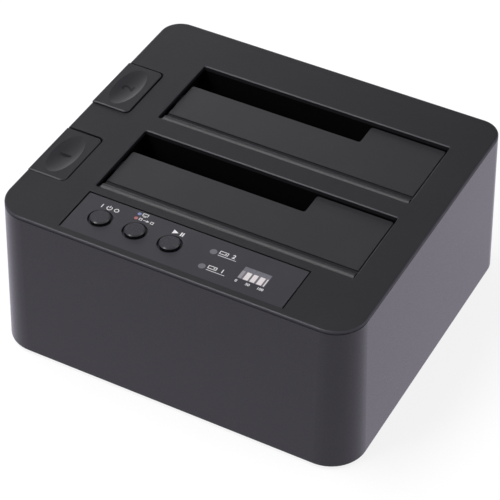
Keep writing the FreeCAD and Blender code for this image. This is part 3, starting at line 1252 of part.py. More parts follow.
def make_ribbon_cable():
    """Flat cable between the boards: two upright runs joined by an S of two equal arcs."""
    body = new_body("ribbon_cable")
    top_y = number(RIBBON_TOP_Y)
    foot_y = number(RIBBON_FOOT_Y)
    top_z = number(RIBBON_TOP_Z)
    foot_z = number(RIBBON_FOOT_Z)
    bend = math.radians(35)
    radius = (foot_y - top_y) / (2 * (1 - math.cos(bend)))
    middle_z = (top_z + foot_z) / 2
    reach = radius * math.sin(bend)
    path = body.newObject("Sketcher::SketchObject", "path")
    plane = [feature for feature in body.Origin.OriginFeatures if feature.Role == "YZ_Plane"][0]
    path.AttachmentSupport = [(plane, "")]
    path.MapMode = "FlatFace"
    path.setExpression("AttachmentOffset.Base.z", RIBBON_X)
    upper = Part.Circle(vector(top_y + radius, middle_z + reach), vector(0, 0, 1), radius)
    lower = Part.Circle(vector(foot_y - radius, middle_z - reach), vector(0, 0, 1), radius)
    path.addGeometry([Part.LineSegment(vector(top_y, top_z), vector(top_y, middle_z + reach)),
                      Part.ArcOfCircle(upper, math.pi, math.pi + bend),
                      Part.ArcOfCircle(lower, 0, bend),
                      Part.LineSegment(vector(foot_y, middle_z - reach), vector(foot_y, foot_z))], False)
    profile = new_sketch(body, "section", "Z", RIBBON_TOP_Z)
    rectangle(f"({RIBBON_X} - dims.ribbon_width / 2)", f"({RIBBON_X} + dims.ribbon_width / 2)",
              f"({RIBBON_TOP_Y} - dims.ribbon_thick / 2)",
              f"({RIBBON_TOP_Y} + dims.ribbon_thick / 2)")(profile)
    pipe = body.newObject("PartDesign::AdditivePipe", "run")
    pipe.Profile = profile
    pipe.Spine = path
    DOC.recompute()
    return body


def make_ribbon_headers():
    half = "(dims.ribbon_width / 2 + 1.5)"
    upper = box("header_upper", f"({RIBBON_X} - {half})", f"({RIBBON_X} + {half})", f"({RIBBON_TOP_Y} - 2.5)",
                f"({RIBBON_TOP_Y} + 2.5)", RIBBON_TOP_Z, BOARD_UNDER)
    lower = box("header_lower", f"({RIBBON_X} - {half})", f"({RIBBON_X} + {half})", f"({RIBBON_FOOT_Y} - 2.5)",
                f"({RIBBON_FOOT_Y} + 2.5)", MAIN_TOP, RIBBON_FOOT_Z)
    return join("ribbon_headers", "Part::Compound", [upper, lower])


def small_screw(name, place, length, direction):
    return screw(name, place, "(dims.small_screw - dims.press_gap)", length, "dims.small_head",
                 "dims.small_head_height", direction)


def make_inner_screws():
    """Screws of both boards and of the bay frame, one group each."""
    board_screw = "(dims.board_thick + dims.screw_engage)"
    ear_screw = "(dims.ear_thick + dims.screw_engage)"
    main = [small_screw(f"main_screw_{i}", (x, y, MAIN_TOP), board_screw, -1)
            for i, (x, y) in enumerate(main_board_points(), start=1)]
    control = [small_screw(f"control_screw_{i}", (x, y, BOARD_UNDER), board_screw, 1)
               for i, (x, y) in enumerate(control_post_points(), start=1)]
    bay = [small_screw(f"bay_screw_{i}", (x, y, EAR_UNDER), ear_screw, 1)
           for i, (x, y) in enumerate(all_ear_points(), start=1)]
    return [join("main_board_screws", "Part::Compound", main),
            join("control_board_screws", "Part::Compound", control),
            join("bay_frame_screws", "Part::Compound", bay)]


# ---------------------------------------------------------------------------------------
# Assembly, checks and export
# ---------------------------------------------------------------------------------------
def make_all():
    nodes = [make_body_shell(), make_top_cover(), make_bottom_cover(), make_feet(), make_case_screws(),
             make_control_panel(), make_progress_window(), make_lamp_chips(),
             make_switches(), make_control_board(), make_main_board(), make_usb_port(),
             make_power_inlet(), make_ribbon_cable(), make_ribbon_headers()]
    nodes += make_lights() + make_board_parts() + make_inner_screws()
    for bay in BAYS:
        nodes += [make_bay_frame(bay), make_flap(bay), make_hinge_pin(bay), make_flap_spring(bay),
                  make_eject_key(bay), make_eject_spring(bay), make_eject_lever(bay),
                  make_lever_pin(bay), make_drive_socket(bay)]
    for index in range(len(KEY_NAMES)):
        nodes += [make_key(index), make_plunger(index)]
    DOC.recompute()
    return nodes


def check(nodes):
    for item in DOC.Objects:
        if "Invalid" in item.State or "Error" in item.State:
            raise RuntimeError(f"{item.Name} failed: {item.State}")
    for node in nodes:
        if node.Shape.isNull() or not node.Shape.isValid():
            raise RuntimeError(f"{node.Label} has no valid shape")


def export(nodes):
    os.makedirs("parts", exist_ok=True)
    for node in nodes:
        node.Shape.exportStep(f"parts/{node.Label}.step")
        bounds = node.Shape.BoundBox
        print(f"{node.Label:22s} solids {len(node.Shape.Solids)} volume {node.Shape.Volume:10.1f}"
              f"  z {bounds.ZMin:7.2f} to {bounds.ZMax:7.2f}")


NODES = make_all()
check(NODES)
export(NODES)
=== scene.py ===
import json
import math

import bmesh
import bpy
from mathutils import Matrix, Vector


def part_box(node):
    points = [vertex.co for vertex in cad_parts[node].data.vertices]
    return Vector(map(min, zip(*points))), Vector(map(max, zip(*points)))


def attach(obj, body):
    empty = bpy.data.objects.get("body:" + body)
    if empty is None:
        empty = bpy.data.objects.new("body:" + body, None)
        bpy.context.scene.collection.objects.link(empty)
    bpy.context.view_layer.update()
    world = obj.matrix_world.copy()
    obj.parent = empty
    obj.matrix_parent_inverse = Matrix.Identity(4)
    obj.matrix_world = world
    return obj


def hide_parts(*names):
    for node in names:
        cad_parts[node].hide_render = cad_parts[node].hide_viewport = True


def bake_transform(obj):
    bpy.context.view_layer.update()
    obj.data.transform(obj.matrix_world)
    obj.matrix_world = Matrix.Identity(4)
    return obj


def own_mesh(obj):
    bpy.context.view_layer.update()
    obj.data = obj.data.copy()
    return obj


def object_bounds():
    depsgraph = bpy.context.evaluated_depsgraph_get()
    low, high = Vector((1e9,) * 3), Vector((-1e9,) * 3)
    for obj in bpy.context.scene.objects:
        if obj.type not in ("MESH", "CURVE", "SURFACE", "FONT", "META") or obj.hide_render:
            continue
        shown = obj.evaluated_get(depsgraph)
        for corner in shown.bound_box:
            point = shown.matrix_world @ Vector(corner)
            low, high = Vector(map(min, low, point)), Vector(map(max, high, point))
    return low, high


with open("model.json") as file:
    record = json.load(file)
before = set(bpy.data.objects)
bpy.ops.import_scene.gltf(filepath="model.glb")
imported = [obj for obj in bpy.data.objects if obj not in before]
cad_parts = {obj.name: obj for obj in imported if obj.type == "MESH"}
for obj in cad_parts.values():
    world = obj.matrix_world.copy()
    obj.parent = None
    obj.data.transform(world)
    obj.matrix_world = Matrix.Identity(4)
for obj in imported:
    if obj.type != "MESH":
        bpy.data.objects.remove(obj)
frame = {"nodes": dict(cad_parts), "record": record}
CAD_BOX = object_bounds()

MM = 0.001
NODES = frame["nodes"]
SLOTS = {part["node"]: part["material_slot"] for part in frame["record"]["subparts"]}
TOP_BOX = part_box("top_cover")
SCENE = bpy.context.scene

# ---------------------------------------------------------------------------------------
# Camera, floor, world and lights
# ---------------------------------------------------------------------------------------
CAMERA_PLACE = (0.27865, -0.526, 0.562)
CAMERA_YAW = math.radians(28.05)
CAMERA_PITCH = math.radians(42.08)
CAMERA_ROLL = math.radians(0.30)
CAMERA_LENS = 152.6
SENSOR = 36.0


def add_camera():
    """A long lens that looks down at the front right corner."""
    data = bpy.data.cameras.new("camera")
    data.lens = CAMERA_LENS
    data.sensor_width = SENSOR
    data.clip_end = 20
    camera = bpy.data.objects.new("camera", data)
    turn = Matrix.Rotation(CAMERA_YAW, 4, "Z") @ Matrix.Rotation(math.pi / 2 - CAMERA_PITCH, 4, "X")
    turn = turn @ Matrix.Rotation(CAMERA_ROLL, 4, "Z")
    camera.matrix_world = Matrix.Translation(CAMERA_PLACE) @ turn
    SCENE.collection.objects.link(camera)
    SCENE.camera = camera


def add_area_light(name, place, target, size, power):
    data = bpy.data.lights.new(name, "AREA")
    data.shape = "RECTANGLE"
    data.size, data.size_y = size
    data.energy = power
    light = bpy.data.objects.new(name, data)
    light.location = place
    light.rotation_euler = (Vector(target) - Vector(place)).to_track_quat("-Z", "Y").to_euler()
    SCENE.collection.objects.link(light)


def node(tree, kind, **settings):
    """A shader node, with its plain attributes set by name."""
    made = tree.nodes.new(kind)
    for key, value in settings.items():
        setattr(made, key, value)
    return made


WORLD_LIGHT = 0.42
WORLD_GLOSS = 0.2
GLOSS_TINT = (0.98, 0.95, 1.06, 1)


def background(tree, colour, strength):
    made = node(tree, "ShaderNodeBackground")
    made.inputs["Color"].default_value = colour
    made.inputs["Strength"].default_value = strength
    return made.outputs[0]


def mixed(tree, factor, first, second):
    mix = node(tree, "ShaderNodeMixShader")
    tree.links.new(factor, mix.inputs[0])
    tree.links.new(first, mix.inputs[1])
    tree.links.new(second, mix.inputs[2])
    return mix.outputs[0]


def make_world():
    """Even white light, dimmer in reflections and pure white behind the object."""
    world = bpy.data.worlds.new("studio")
    world.use_nodes = True
    tree = world.node_tree
    tree.nodes.clear()
    path = node(tree, "ShaderNodeLightPath")
    lighting = background(tree, (1, 1, 1, 1), WORLD_LIGHT)
    gloss = background(tree, GLOSS_TINT, WORLD_GLOSS)
    white = background(tree, (1, 1, 1, 1), 1.0)
    unseen = mixed(tree, path.outputs["Is Glossy Ray"], lighting, gloss)
    shown = mixed(tree, path.outputs["Is Camera Ray"], unseen, white)
    out = node(tree, "ShaderNodeOutputWorld")
    tree.links.new(shown, out.inputs["Surface"])
    SCENE.world = world


FLOOR_SIZE = 6.0
FLOOR_COLOUR = (0.86, 0.86, 0.87, 1)
FLOOR_WHITE_SHARE = 0.8
FLOOR_WHITE = (1.04, 1.04, 1.04)
FLOOR_GLOSS_SHARE = 0.85
FLOOR_GLOSS = (1.26, 1.18, 1.42)


def make_floor():
    """Pale floor that stays near white in view and in reflections and keeps the object's shadow."""
    bpy.ops.mesh.primitive_plane_add(size=FLOOR_SIZE, location=(0, 0, CAD_BOX[0][2]))
    floor = bpy.context.object
    floor.name = "floor"
    material = bpy.data.materials.new("floor")
    material.use_nodes = True
    tree = material.node_tree
    tree.nodes.clear()
    matt = node(tree, "ShaderNodeBsdfDiffuse")
    matt.inputs["Color"].default_value = FLOOR_COLOUR
    path = node(tree, "ShaderNodeLightPath")
    shown = matt.outputs[0]
    for ray, share, colour in (("Is Camera Ray", FLOOR_WHITE_SHARE, FLOOR_WHITE),
                               ("Is Transmission Ray", FLOOR_WHITE_SHARE, FLOOR_WHITE),
                               ("Is Glossy Ray", FLOOR_GLOSS_SHARE, FLOOR_GLOSS)):
        glow = node(tree, "ShaderNodeEmission")
        glow.inputs["Color"].default_value = (*colour, 1)
        weight = node(tree, "ShaderNodeMath", operation="MULTIPLY")
        weight.inputs[1].default_value = share
        tree.links.new(path.outputs[ray], weight.inputs[0])
        shown = mixed(tree, weight.outputs[0], shown, glow.outputs[0])
    out = node(tree, "ShaderNodeOutputMaterial")
    tree.links.new(shown, out.inputs["Surface"])
    floor.data.materials.append(material)


TOP_MIDDLE = (0, 0, 0.06)


def light_studio():
    """Soft lamps above, in front, behind on the left and, as a fill, on the right."""
    add_area_light("overhead", (-0.385, -0.055, 1.1), TOP_MIDDLE, (0.4, 0.4), 5.5)
    add_area_light("front_top", (-0.37, -0.40, 0.965), TOP_MIDDLE, (0.35, 0.35), 3)
    add_area_light("edge", (-0.42, -0.77, 0.75), TOP_MIDDLE, (0.3, 0.3), 2.4)
    add_area_light("rear_left", (-0.8, 1.05, 0.42), TOP_MIDDLE, (0.7, 0.35), 3.2)
    add_area_light("right_fill", (1.3, 0.5, 0.7), (0, 0, 0.04), (0.9, 0.9), 3)


# ---------------------------------------------------------------------------------------
# Materials
# ---------------------------------------------------------------------------------------
def new_material(name):
    material = bpy.data.materials.new(name)
    material.use_nodes = True
    tree = material.node_tree
    tree.nodes.clear()
    shader = node(tree, "ShaderNodeBsdfPrincipled")
    out = node(tree, "ShaderNodeOutputMaterial")
    tree.links.new(shader.outputs[0], out.inputs["Surface"])
    return material, tree, shader


def noise(tree, scale, detail=2.0, roughness=0.5):
    """Noise in the object's own space; scale is in cells per metre."""
    place = node(tree, "ShaderNodeTexCoord")
    texture = node(tree, "ShaderNodeTexNoise")
    texture.inputs["Scale"].default_value = scale
    texture.inputs["Detail"].default_value = detail
    texture.inputs["Roughness"].default_value = roughness
    tree.links.new(place.outputs["Object"], texture.inputs["Vector"])
    return texture.outputs["Fac"]


def ramp(tree, value, low, high):
    """Maps a noise value, mostly between 0.3 and 0.7, to the range from low to high."""
    made = node(tree, "ShaderNodeMapRange")
    made.inputs["From Min"].default_value = 0.3
    made.inputs["From Max"].default_value = 0.7
    made.inputs["To Min"].default_value = low
    made.inputs["To Max"].default_value = high
    tree.links.new(value, made.inputs["Value"])
    return made.outputs[0]


def shaded_colour(tree, value, colour, spread):
    """The colour made darker and lighter by a share of itself."""
    mix = node(tree, "ShaderNodeMix", data_type="RGBA")
    mix.inputs["A"].default_value = (*[c * (1 - spread) for c in colour], 1)
    mix.inputs["B"].default_value = (*[c * (1 + spread) for c in colour], 1)
    tree.links.new(ramp(tree, value, 0, 1), mix.inputs["Factor"])
    return mix.outputs["Result"]


def by_slope(tree, *levels):
    """A value read from pairs of how level a face is, from 0 upright to 1 level, and the value there."""
    place = node(tree, "ShaderNodeTexCoord")
    parts = node(tree, "ShaderNodeSeparateXYZ")
    tree.links.new(place.outputs["Normal"], parts.inputs[0])
    slope = node(tree, "ShaderNodeMath", operation="ABSOLUTE")
    tree.links.new(parts.outputs["Z"], slope.inputs[0])
    curve = node(tree, "ShaderNodeValToRGB")
    stops = curve.color_ramp.elements
    stops.remove(stops[1])
    stops[0].position = levels[0][0]
    stops[0].color = (levels[0][1],) * 3 + (1,)
    for position, level in levels[1:]:
        stops.new(position).color = (level, level, level, 1)
    tree.links.new(slope.outputs[0], curve.inputs[0])
    return curve.outputs["Color"]


def edge_share(tree):
    """1 on the sloping faces of rounded and chamfered edges, where a painted highlight and a smoother
    finish go, and 0 on level and upright faces.
    """
    return by_slope(tree, (0.12, 0), (0.4, 1), (0.88, 1), (0.99, 0))


def blend_colour(tree, factor, first, second):
    """Goes from first, a socket, to second, a colour."""
    mix = node(tree, "ShaderNodeMix", data_type="RGBA")
    tree.links.new(factor, mix.inputs["Factor"])
    tree.links.new(first, mix.inputs["A"])
    mix.inputs["B"].default_value = (*second, 1)
    return mix.outputs["Result"]


def blend_value(tree, factor, first, second):
    """Goes from first, a socket, to second, a number."""
    mix = node(tree, "ShaderNodeMix", data_type="FLOAT")
    tree.links.new(factor, mix.inputs["Factor"])
    tree.links.new(first, mix.inputs["A"])
    mix.inputs["B"].default_value = second
    return mix.outputs["Result"]


def surface(name, colour, rough, spread=0.06, rough_spread=0.05, grain=2600, bump=0.1, depth=0.02,
            cloud=60, edge=None, side=None, **sockets):
    """A plain surface with broad shade changes and a fine grain in its roughness and bump.

    edge, a brightness and a roughness, paints a highlight into the colour of its rounded and chamfered
    edges and makes them smoother, and side darkens the colour of its upright faces to that share: painted
    shade.
    """
    material, tree, shader = new_material(name)
    paint = shaded_colour(tree, noise(tree, cloud, 4.0), colour, spread)
    fine = noise(tree, grain, 3.0, 0.6)
    polish = ramp(tree, fine, rough - rough_spread, rough + rough_spread)
    if edge:
        # Sloping edge faces get a brighter colour: a painted highlight.
        edge_highlight_mask = edge_share(tree)
        paint = blend_colour(tree, edge_highlight_mask, paint, [c * edge[0] for c in colour])
        polish = blend_value(tree, edge_highlight_mask, polish, edge[1])
    if side is not None:
        # Upright faces get a darker colour: painted shade.
        side_shade_mask = by_slope(tree, (0.3, 1), (0.6, 0))
        paint = blend_colour(tree, side_shade_mask, paint, [c * side for c in colour])
    tree.links.new(paint, shader.inputs["Base Color"])
    tree.links.new(polish, shader.inputs["Roughness"])
    relief = node(tree, "ShaderNodeBump")
    relief.inputs["Strength"].default_value = bump
    relief.inputs["Distance"].default_value = depth * MM
    tree.links.new(fine, relief.inputs["Height"])
    tree.links.new(relief.outputs[0], shader.inputs["Normal"])
    for socket, value in sockets.items():
        shader.inputs[socket.replace("_", " ")].default_value = value
    return material


CHARCOAL = (0.013, 0.0126, 0.0152)
# The walls are the same plastic as the top; their darker colour is painted shade.
WALL = (0.0085, 0.0085, 0.0095)


def make_materials():
    """One material for each slot of the record."""
    made = {
        # The cover's rounded and chamfered edges get a painted highlight, 3.2 times its colour.
        "cover_plastic": surface("cover_plastic", CHARCOAL, 0.55, grain=1800, bump=0.25, edge=(3.2, 0.3),
                                 Specular_IOR_Level=0.25),
        # Darker copy of the top's plastic on the walls: painted shade.
        "wall_plastic": surface("wall_plastic", WALL, 0.3, grain=3000, bump=0.06,
                                Specular_IOR_Level=0.3),
        "panel_plastic": surface("panel_plastic", (0.028, 0.027, 0.033), 0.45, grain=3000, bump=0.05,
                                 Specular_IOR_Level=0.3),
        "flap_plastic": surface("flap_plastic", (0.0145, 0.014, 0.0168), 0.46, grain=2400, bump=0.12,
                                Specular_IOR_Level=0.4),
        # The keys' rims get a painted highlight, 4 times their colour.
        "eject_plastic": surface("eject_plastic", (0.0092, 0.0088, 0.0108), 0.52, grain=1800, bump=0.2,
                                 edge=(4.0, 0.3), Specular_IOR_Level=0.3),
        # The buttons' upright sides are painted darker: painted shade.
        "button_plastic": surface("button_plastic", (0.034, 0.033, 0.038), 0.26, grain=2000, bump=0.02,
                                  side=0.2, rough_spread=0.02, Specular_IOR_Level=0.5),
        "frame_plastic": surface("frame_plastic", (0.0025, 0.0025, 0.0028), 0.6, Specular_IOR_Level=0.1),
        "lever_plastic": surface("lever_plastic", (0.02, 0.02, 0.02), 0.45),
        "base_plastic": surface("base_plastic", (0.025, 0.025, 0.028), 0.55, grain=1800, bump=0.25),
        "foot_rubber": surface("foot_rubber", (0.018, 0.018, 0.018), 0.8, grain=900, bump=0.2),
        "steel": surface("steel", (0.16, 0.16, 0.17), 0.42, Metallic=1.0),
        "screw_steel": surface("screw_steel", (0.05, 0.05, 0.05), 0.38, Metallic=0.9),
        "board": surface("board", (0.012, 0.09, 0.035), 0.35, spread=0.15, cloud=300),
        "chip": surface("chip", (0.015, 0.015, 0.015), 0.5),
        "can": surface("can", (0.6, 0.6, 0.62), 0.35, Metallic=1.0),
        "socket_plastic": surface("socket_plastic", (0.01, 0.01, 0.01), 0.5),
        "port_metal": surface("port_metal", (0.4, 0.41, 0.36), 0.34, Metallic=1.0),
        "inlet_plastic": surface("inlet_plastic", (0.012, 0.012, 0.012), 0.45),
        "switch_plastic": surface("switch_plastic", (0.05, 0.05, 0.05), 0.5),
        "ribbon": surface("ribbon", (0.35, 0.35, 0.37), 0.55),
        "header_plastic": surface("header_plastic", (0.5, 0.47, 0.4), 0.5),
        "blue_lens": surface("blue_lens", (0.17, 0.2, 0.36), 0.3),
        "red_lens": surface("red_lens", (0.34, 0.12, 0.13), 0.3),
        "clear_lens": surface("clear_lens", (0.115, 0.115, 0.13), 0.4),
        "window_lens": surface("window_lens", (0.125, 0.122, 0.145), 0.3),
        "lamp_chip": surface("lamp_chip", (0.7, 0.68, 0.5), 0.4),
    }
    for name, slot in SLOTS.items():
        mesh = NODES[name].data
        mesh.materials.clear()
        mesh.materials.append(made[slot])


# ---------------------------------------------------------------------------------------
# Pieces whose outline is finer than the solid's
# ---------------------------------------------------------------------------------------
def link_mesh(name, mesh_data):
    made = bpy.data.objects.new(name, mesh_data)
    SCENE.collection.objects.link(made)
    return made


SHARP = math.radians(28)
SAME_POINT = 1e-7


def smooth_afresh(shape, made):
    """Works the shading of a changed mesh out again, with its sharp edges kept."""
    work = bmesh.new()
    work.from_mesh(shape)
    bmesh.ops.remove_doubles(work, verts=work.verts[:], dist=SAME_POINT)
    work.to_mesh(shape)
    work.free()
    if "custom_normal" in shape.attributes:
        shape.attributes.remove(shape.attributes["custom_normal"])
    shape.shade_smooth()
    shape.set_sharp_from_angle(angle=SHARP)
    weighted = made.modifiers.new("weighted", "WEIGHTED_NORMAL")
    weighted.keep_sharp = True


def reshaped(name, piece_name, move, body="housing", smooth=False):
    """A copy of a CAD node's mesh with its points moved, which stands for the node.

    With no body it is attached to none.
    """
    shape = NODES[name].data.copy()
    shape.name = piece_name
    for corner in shape.vertices:
        corner.co = move(corner.co)
    made = link_mesh(piece_name, shape)
    if smooth:
        smooth_afresh(shape, made)
    if body:
        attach(made, body)
    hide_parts(name)
    return made


FRONT_CORNER = 12.0 * MM     # plan radius of the front corners at the top edge
REAR_CORNER = 8.5 * MM       # the rear corners are tighter
SKIN = 3.0 * MM              # depth of the outer walls that follow the corner
TINY = 1e-6


def tighten_rear(place):
    """Moves the skin of a rear corner out to the smaller radius; the straight walls stay."""
    low, high = TOP_BOX
    centre_x = (high.x - low.x) / 2 - FRONT_CORNER
    centre_y = high.y - FRONT_CORNER
    across = abs(place.x) - centre_x
    back = place.y - centre_y
    reach = math.hypot(across, back)
    if min(across, back) < -TINY or reach < FRONT_CORNER - SKIN:
        return place
    gain = FRONT_CORNER - REAR_CORNER
    side = math.copysign(1, place.x)
    x = place.x + side * gain * (1 - across / reach)
    return Vector((x, place.y + gain * (1 - back / reach), place.z))


# Rear edges and notch of a flap
NOTCH_DEEP = 11.0 * MM       # tab's rear edge to the door's rear edge
EDGE_BAND = 1.2 * MM         # holds an edge's corner rounding
DOOR_GAIN = 1.6 * MM
TAB_GAIN = 0.7 * MM
NOTCH_SHIFT = 2.0 * MM
NOTCH_PLACE = 24.6 * MM      # middle of the notch's slanted corners, along the flap
NOTCH_BAND = 1.6 * MM

# Groove behind the hinge bead
BEAD_UNDER = 2.3 * MM        # bead's top to the hinge pin's middle
BEAD_RISE = 0.5 * MM         # bead's top above the plate
BORE_REACH = 1.85 * MM       # holds the pin and spring bores
VALLEY_FRONT = 0.1 * MM      # behind the hinge pin's middle, as the next five are
VALLEY_LOW = 2.0 * MM
WALL_FROM = 2.3 * MM
WALL_LOW = 2.39 * MM
VALLEY_REAR = 2.77 * MM
VALLEY_END = 2.85 * MM
VALLEY_DEEP = 0.6 * MM       # below the plate
WALL_LEAN = 0.07 * MM        # how far the groove's rear wall leans over its height

# Ear at a flap's left edge
EAR_REACH = 1.0 * MM         # holds its outer end
EAR_DEPTH = 1.5 * MM
EAR_SINK = 0.9 * MM


def eased(share):
    """Goes from 0 to 1 with level ends."""
    return share * share * (3 - 2 * share)


def seated_flap(box):
    """A function that moves a flap's rear edges back and its notch to the right.

    It also gives the groove behind the hinge bead an upright rear wall and a slope that climbs to
    the bead, and lowers the ear at the flap's left.
    """
    low, high = box
    door = high.y - NOTCH_DEEP
    pin_y = low.y + BEAD_UNDER
    top = high.z
    plate = top - BEAD_RISE

    def hollow(place):
        back = place.y - pin_y
        height = place.z - (top - BEAD_UNDER)
        if not VALLEY_FRONT < back < VALLEY_END or math.hypot(back, height) < BORE_REACH:
            return place
        if place.z < plate - VALLEY_DEEP:
            return place
        if back > WALL_FROM:
            share = min(1.0, max(0.0, (back - WALL_LOW) / (VALLEY_REAR - WALL_LOW)))
            wall_y = pin_y + VALLEY_REAR - WALL_LEAN * (1 - share)
            return Vector((place.x, wall_y, plate - VALLEY_DEEP * (1 - share)))
        drop = eased(min(1.0, (back - VALLEY_FRONT) / (VALLEY_LOW - VALLEY_FRONT)))
        return Vector((place.x, place.y, top - (BEAD_RISE + VALLEY_DEEP) * drop))

    def move(place):
        if place.x < low.x + EAR_REACH and place.z > top - EAR_DEPTH:
            return place - Vector((0, 0, EAR_SINK))
        if place.y < door - EDGE_BAND:
            return hollow(place)
        gain = TAB_GAIN if place.y > high.y - EDGE_BAND else DOOR_GAIN
        shift = NOTCH_SHIFT if abs(place.x - NOTCH_PLACE) < NOTCH_BAND else 0.0
        return place + Vector((shift, gain, 0))
    return move


KEY_FLOOR = 65.5 * MM        # a key's top is above this
KEY_SINK = 0.6 * MM
CAP_FLOOR = 61.0 * MM        # holds the cap and its skirt
CAP_GAP_RIGHT = 0.2 * MM
CAP_GAP_REAR = 0.5 * MM


def seated_cap(box, sink):
    """Draws a key cap's right and rear edges in, so that its gap shows, and lowers its top."""
    low, high = box
    share_x = 1 - CAP_GAP_RIGHT / (high.x - low.x)
    share_y = 1 - CAP_GAP_REAR / (high.y - low.y)

    def move(place):
        if place.z < CAP_FLOOR:
            return place
        x = low.x + (place.x - low.x) * share_x
        y = low.y + (place.y - low.y) * share_y
        drop = sink if place.z > KEY_FLOOR else 0.0
        return Vector((x, y, place.z - drop))
    return move


PANEL_GAP = 0.3 * MM


def narrowed_panel(box):
    """Draws the panel's rear and left edges in, and its right edge half as far, so that its gap shows."""
    low, high = box

    def move(place):
        x = min(max(place.x, low.x + PANEL_GAP), high.x - PANEL_GAP / 2)
        return Vector((x, min(place.y, high.y - PANEL_GAP), place.z))
    return move


def reshape_pieces():
    """Makes the pieces that stand for CAD nodes, and returns the key caps by bay."""
    reshaped("control_panel", "panel_plate", narrowed_panel(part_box("control_panel")))
    for name, piece_name in (("top_cover", "cover_top"), ("body_shell", "shell"), ("bottom_cover", "base")):
        reshaped(name, piece_name, tighten_rear)
    for bay in (1, 2):
        reshaped(f"flap_{bay}", f"door_{bay}", seated_flap(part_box(f"flap_{bay}")), body=f"flap_{bay}",
                 smooth=True)
    caps = {}
    for bay, sink in ((1, 0.0), (2, KEY_SINK)):
        moved = seated_cap(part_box(f"eject_key_{bay}"), sink)
        caps[bay] = reshaped(f"eject_key_{bay}", f"key_cap_{bay}", moved, body=f"eject_key_{bay}")
    return caps


def springs():
    """Copies of the key return springs, fixed to the housing, and of the flap torsion springs, fixed to no
    body.
    """
    for bay in (1, 2):
        coil = reshaped(f"eject_spring_{bay}", f"return_coil_{bay}", Vector)
        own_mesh(coil)
        coil = reshaped(f"flap_spring_{bay}", f"torsion_coil_{bay}", Vector, body=None)
        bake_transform(coil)


# ---------------------------------------------------------------------------------------
# Printed and moulded marks
# ---------------------------------------------------------------------------------------
INK_LIFT = 0.015 * MM     # ink above the face it is printed on
INK_THICK = 0.02 * MM
TEXT_BOLD = 0.02          # share of its size by which a number's outline grows


def printed(name, outlines, height, material, body="housing"):
    """Flat printed shapes on a level face: each outline is a closed list of points in plan."""
    work = bmesh.new()
    for outline in outlines:
        corners = [work.verts.new((x, y, height + INK_LIFT)) for x, y in outline]
        work.faces.new(corners)
    bmesh.ops.recalc_face_normals(work, faces=work.faces[:])
    raised = bmesh.ops.extrude_face_region(work, geom=work.faces[:])
    tops = [item for item in raised["geom"] if isinstance(item, bmesh.types.BMVert)]
    bmesh.ops.translate(work, verts=tops, vec=(0, 0, INK_THICK))
    bmesh.ops.recalc_face_normals(work, faces=work.faces[:])
    data = bpy.data.meshes.new(name)
    work.to_mesh(data)
    work.free()
    data.materials.append(material)
    made = link_mesh(name, data)
    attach(made, body)
    return made


def ring(x, y, radius, width, start=0.0, sweep=360.0, steps=28):
    """Quads along an arc of a given line width; angles in degrees from +X."""
    quads = []
    for step in range(steps):
        a = math.radians(start + sweep * step / steps)
        b = math.radians(start + sweep * (step + 1) / steps)
        inner = radius - width / 2
        outer = radius + width / 2
        quads.append([(x + inner * math.cos(a), y + inner * math.sin(a)),
                      (x + outer * math.cos(a), y + outer * math.sin(a)),
                      (x + outer * math.cos(b), y + outer * math.sin(b)),
                      (x + inner * math.cos(b), y + inner * math.sin(b))])
    return quads


def bar(x0, x1, y0, y1):
    return [(x0, y0), (x1, y0), (x1, y1), (x0, y1)]


def frame_of(x0, x1, y0, y1, width):
    """Four bars round a rectangle."""
    return [bar(x0, x1, y0, y0 + width), bar(x0, x1, y1 - width, y1),
            bar(x0, x0 + width, y0 + width, y1 - width), bar(x1 - width, x1, y0 + width, y1 - width)]


def printed_text(name, words, x, y, size, height, material, body="housing", turn=0.0):
    """Plain numbers printed flat on a level face, centred on a point in plan."""
    data = bpy.data.curves.new(name, "FONT")
    data.body = words
    data.size = size
    data.align_x = "CENTER"
    data.align_y = "CENTER"
    data.offset = TEXT_BOLD * size
    data.extrude = INK_THICK / 2
    text = bpy.data.objects.new(name, data)
    text.location = (x, y, height + INK_LIFT)
    text.rotation_euler = (0, 0, turn)
    SCENE.collection.objects.link(text)
    bpy.context.view_layer.update()
    mesh = bpy.data.meshes.new_from_object(text.evaluated_get(bpy.context.evaluated_depsgraph_get()))
    mesh.transform(text.matrix_world)
    bpy.data.objects.remove(text)
    mesh.materials.clear()
    mesh.materials.append(material)
    made = link_mesh(name, mesh)
    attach(made, body)
    return made


def middle_of(name):
    low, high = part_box(name)
    return (low + high) / 2


def triangle(x, y, size):
    """A triangle that points right, centred on a point."""
    return [(x - size * 0.43, y - size / 2), (x + size * 0.57, y), (x - size * 0.43, y + size / 2)]


LABEL_TALL = 1.9 * MM
LABEL_LINE = 0.3 * MM
LABEL_RISE = 6.3 * MM        # button's middle to its label's middle
LABEL_SHIFT = 0.1 * MM       # power label to the right of its button's middle
SIGN_LINE = 0.24 * MM
DRIVE_LINE = 0.26 * MM
STATUS_GAP = 1.2 * MM        # status light's middle to its sign's left edge
COPY_RISE = 0.1 * MM         # red light's middle to its sign's middle
DRIVE_GAP = 2.1 * MM         # drive light's middle to its sign's left edge
DRIVE_RISE = 0.8 * MM        # drive light's middle to its sign's middle
UNDERLINE_DROP = 0.95 * MM
UNDERLINE_LONG = 7.2 * MM
UNDERLINE_THICK = 0.22 * MM
BAY_NUMBER_PLACE = 5.6 * MM  # right of the drive sign's left edge
BAY_NUMBER_TALL = 2.6 * MM
SCALE_DROP = 1.6 * MM        # progress window's front edge to the numbers under it
SCALE_TALL = 1.7 * MM
SCALE = (("0", 0.03), ("50", 0.46), ("100", 0.93))     # numbers and their places along the window
KEY_NUMBER_TALL = 6.5 * MM


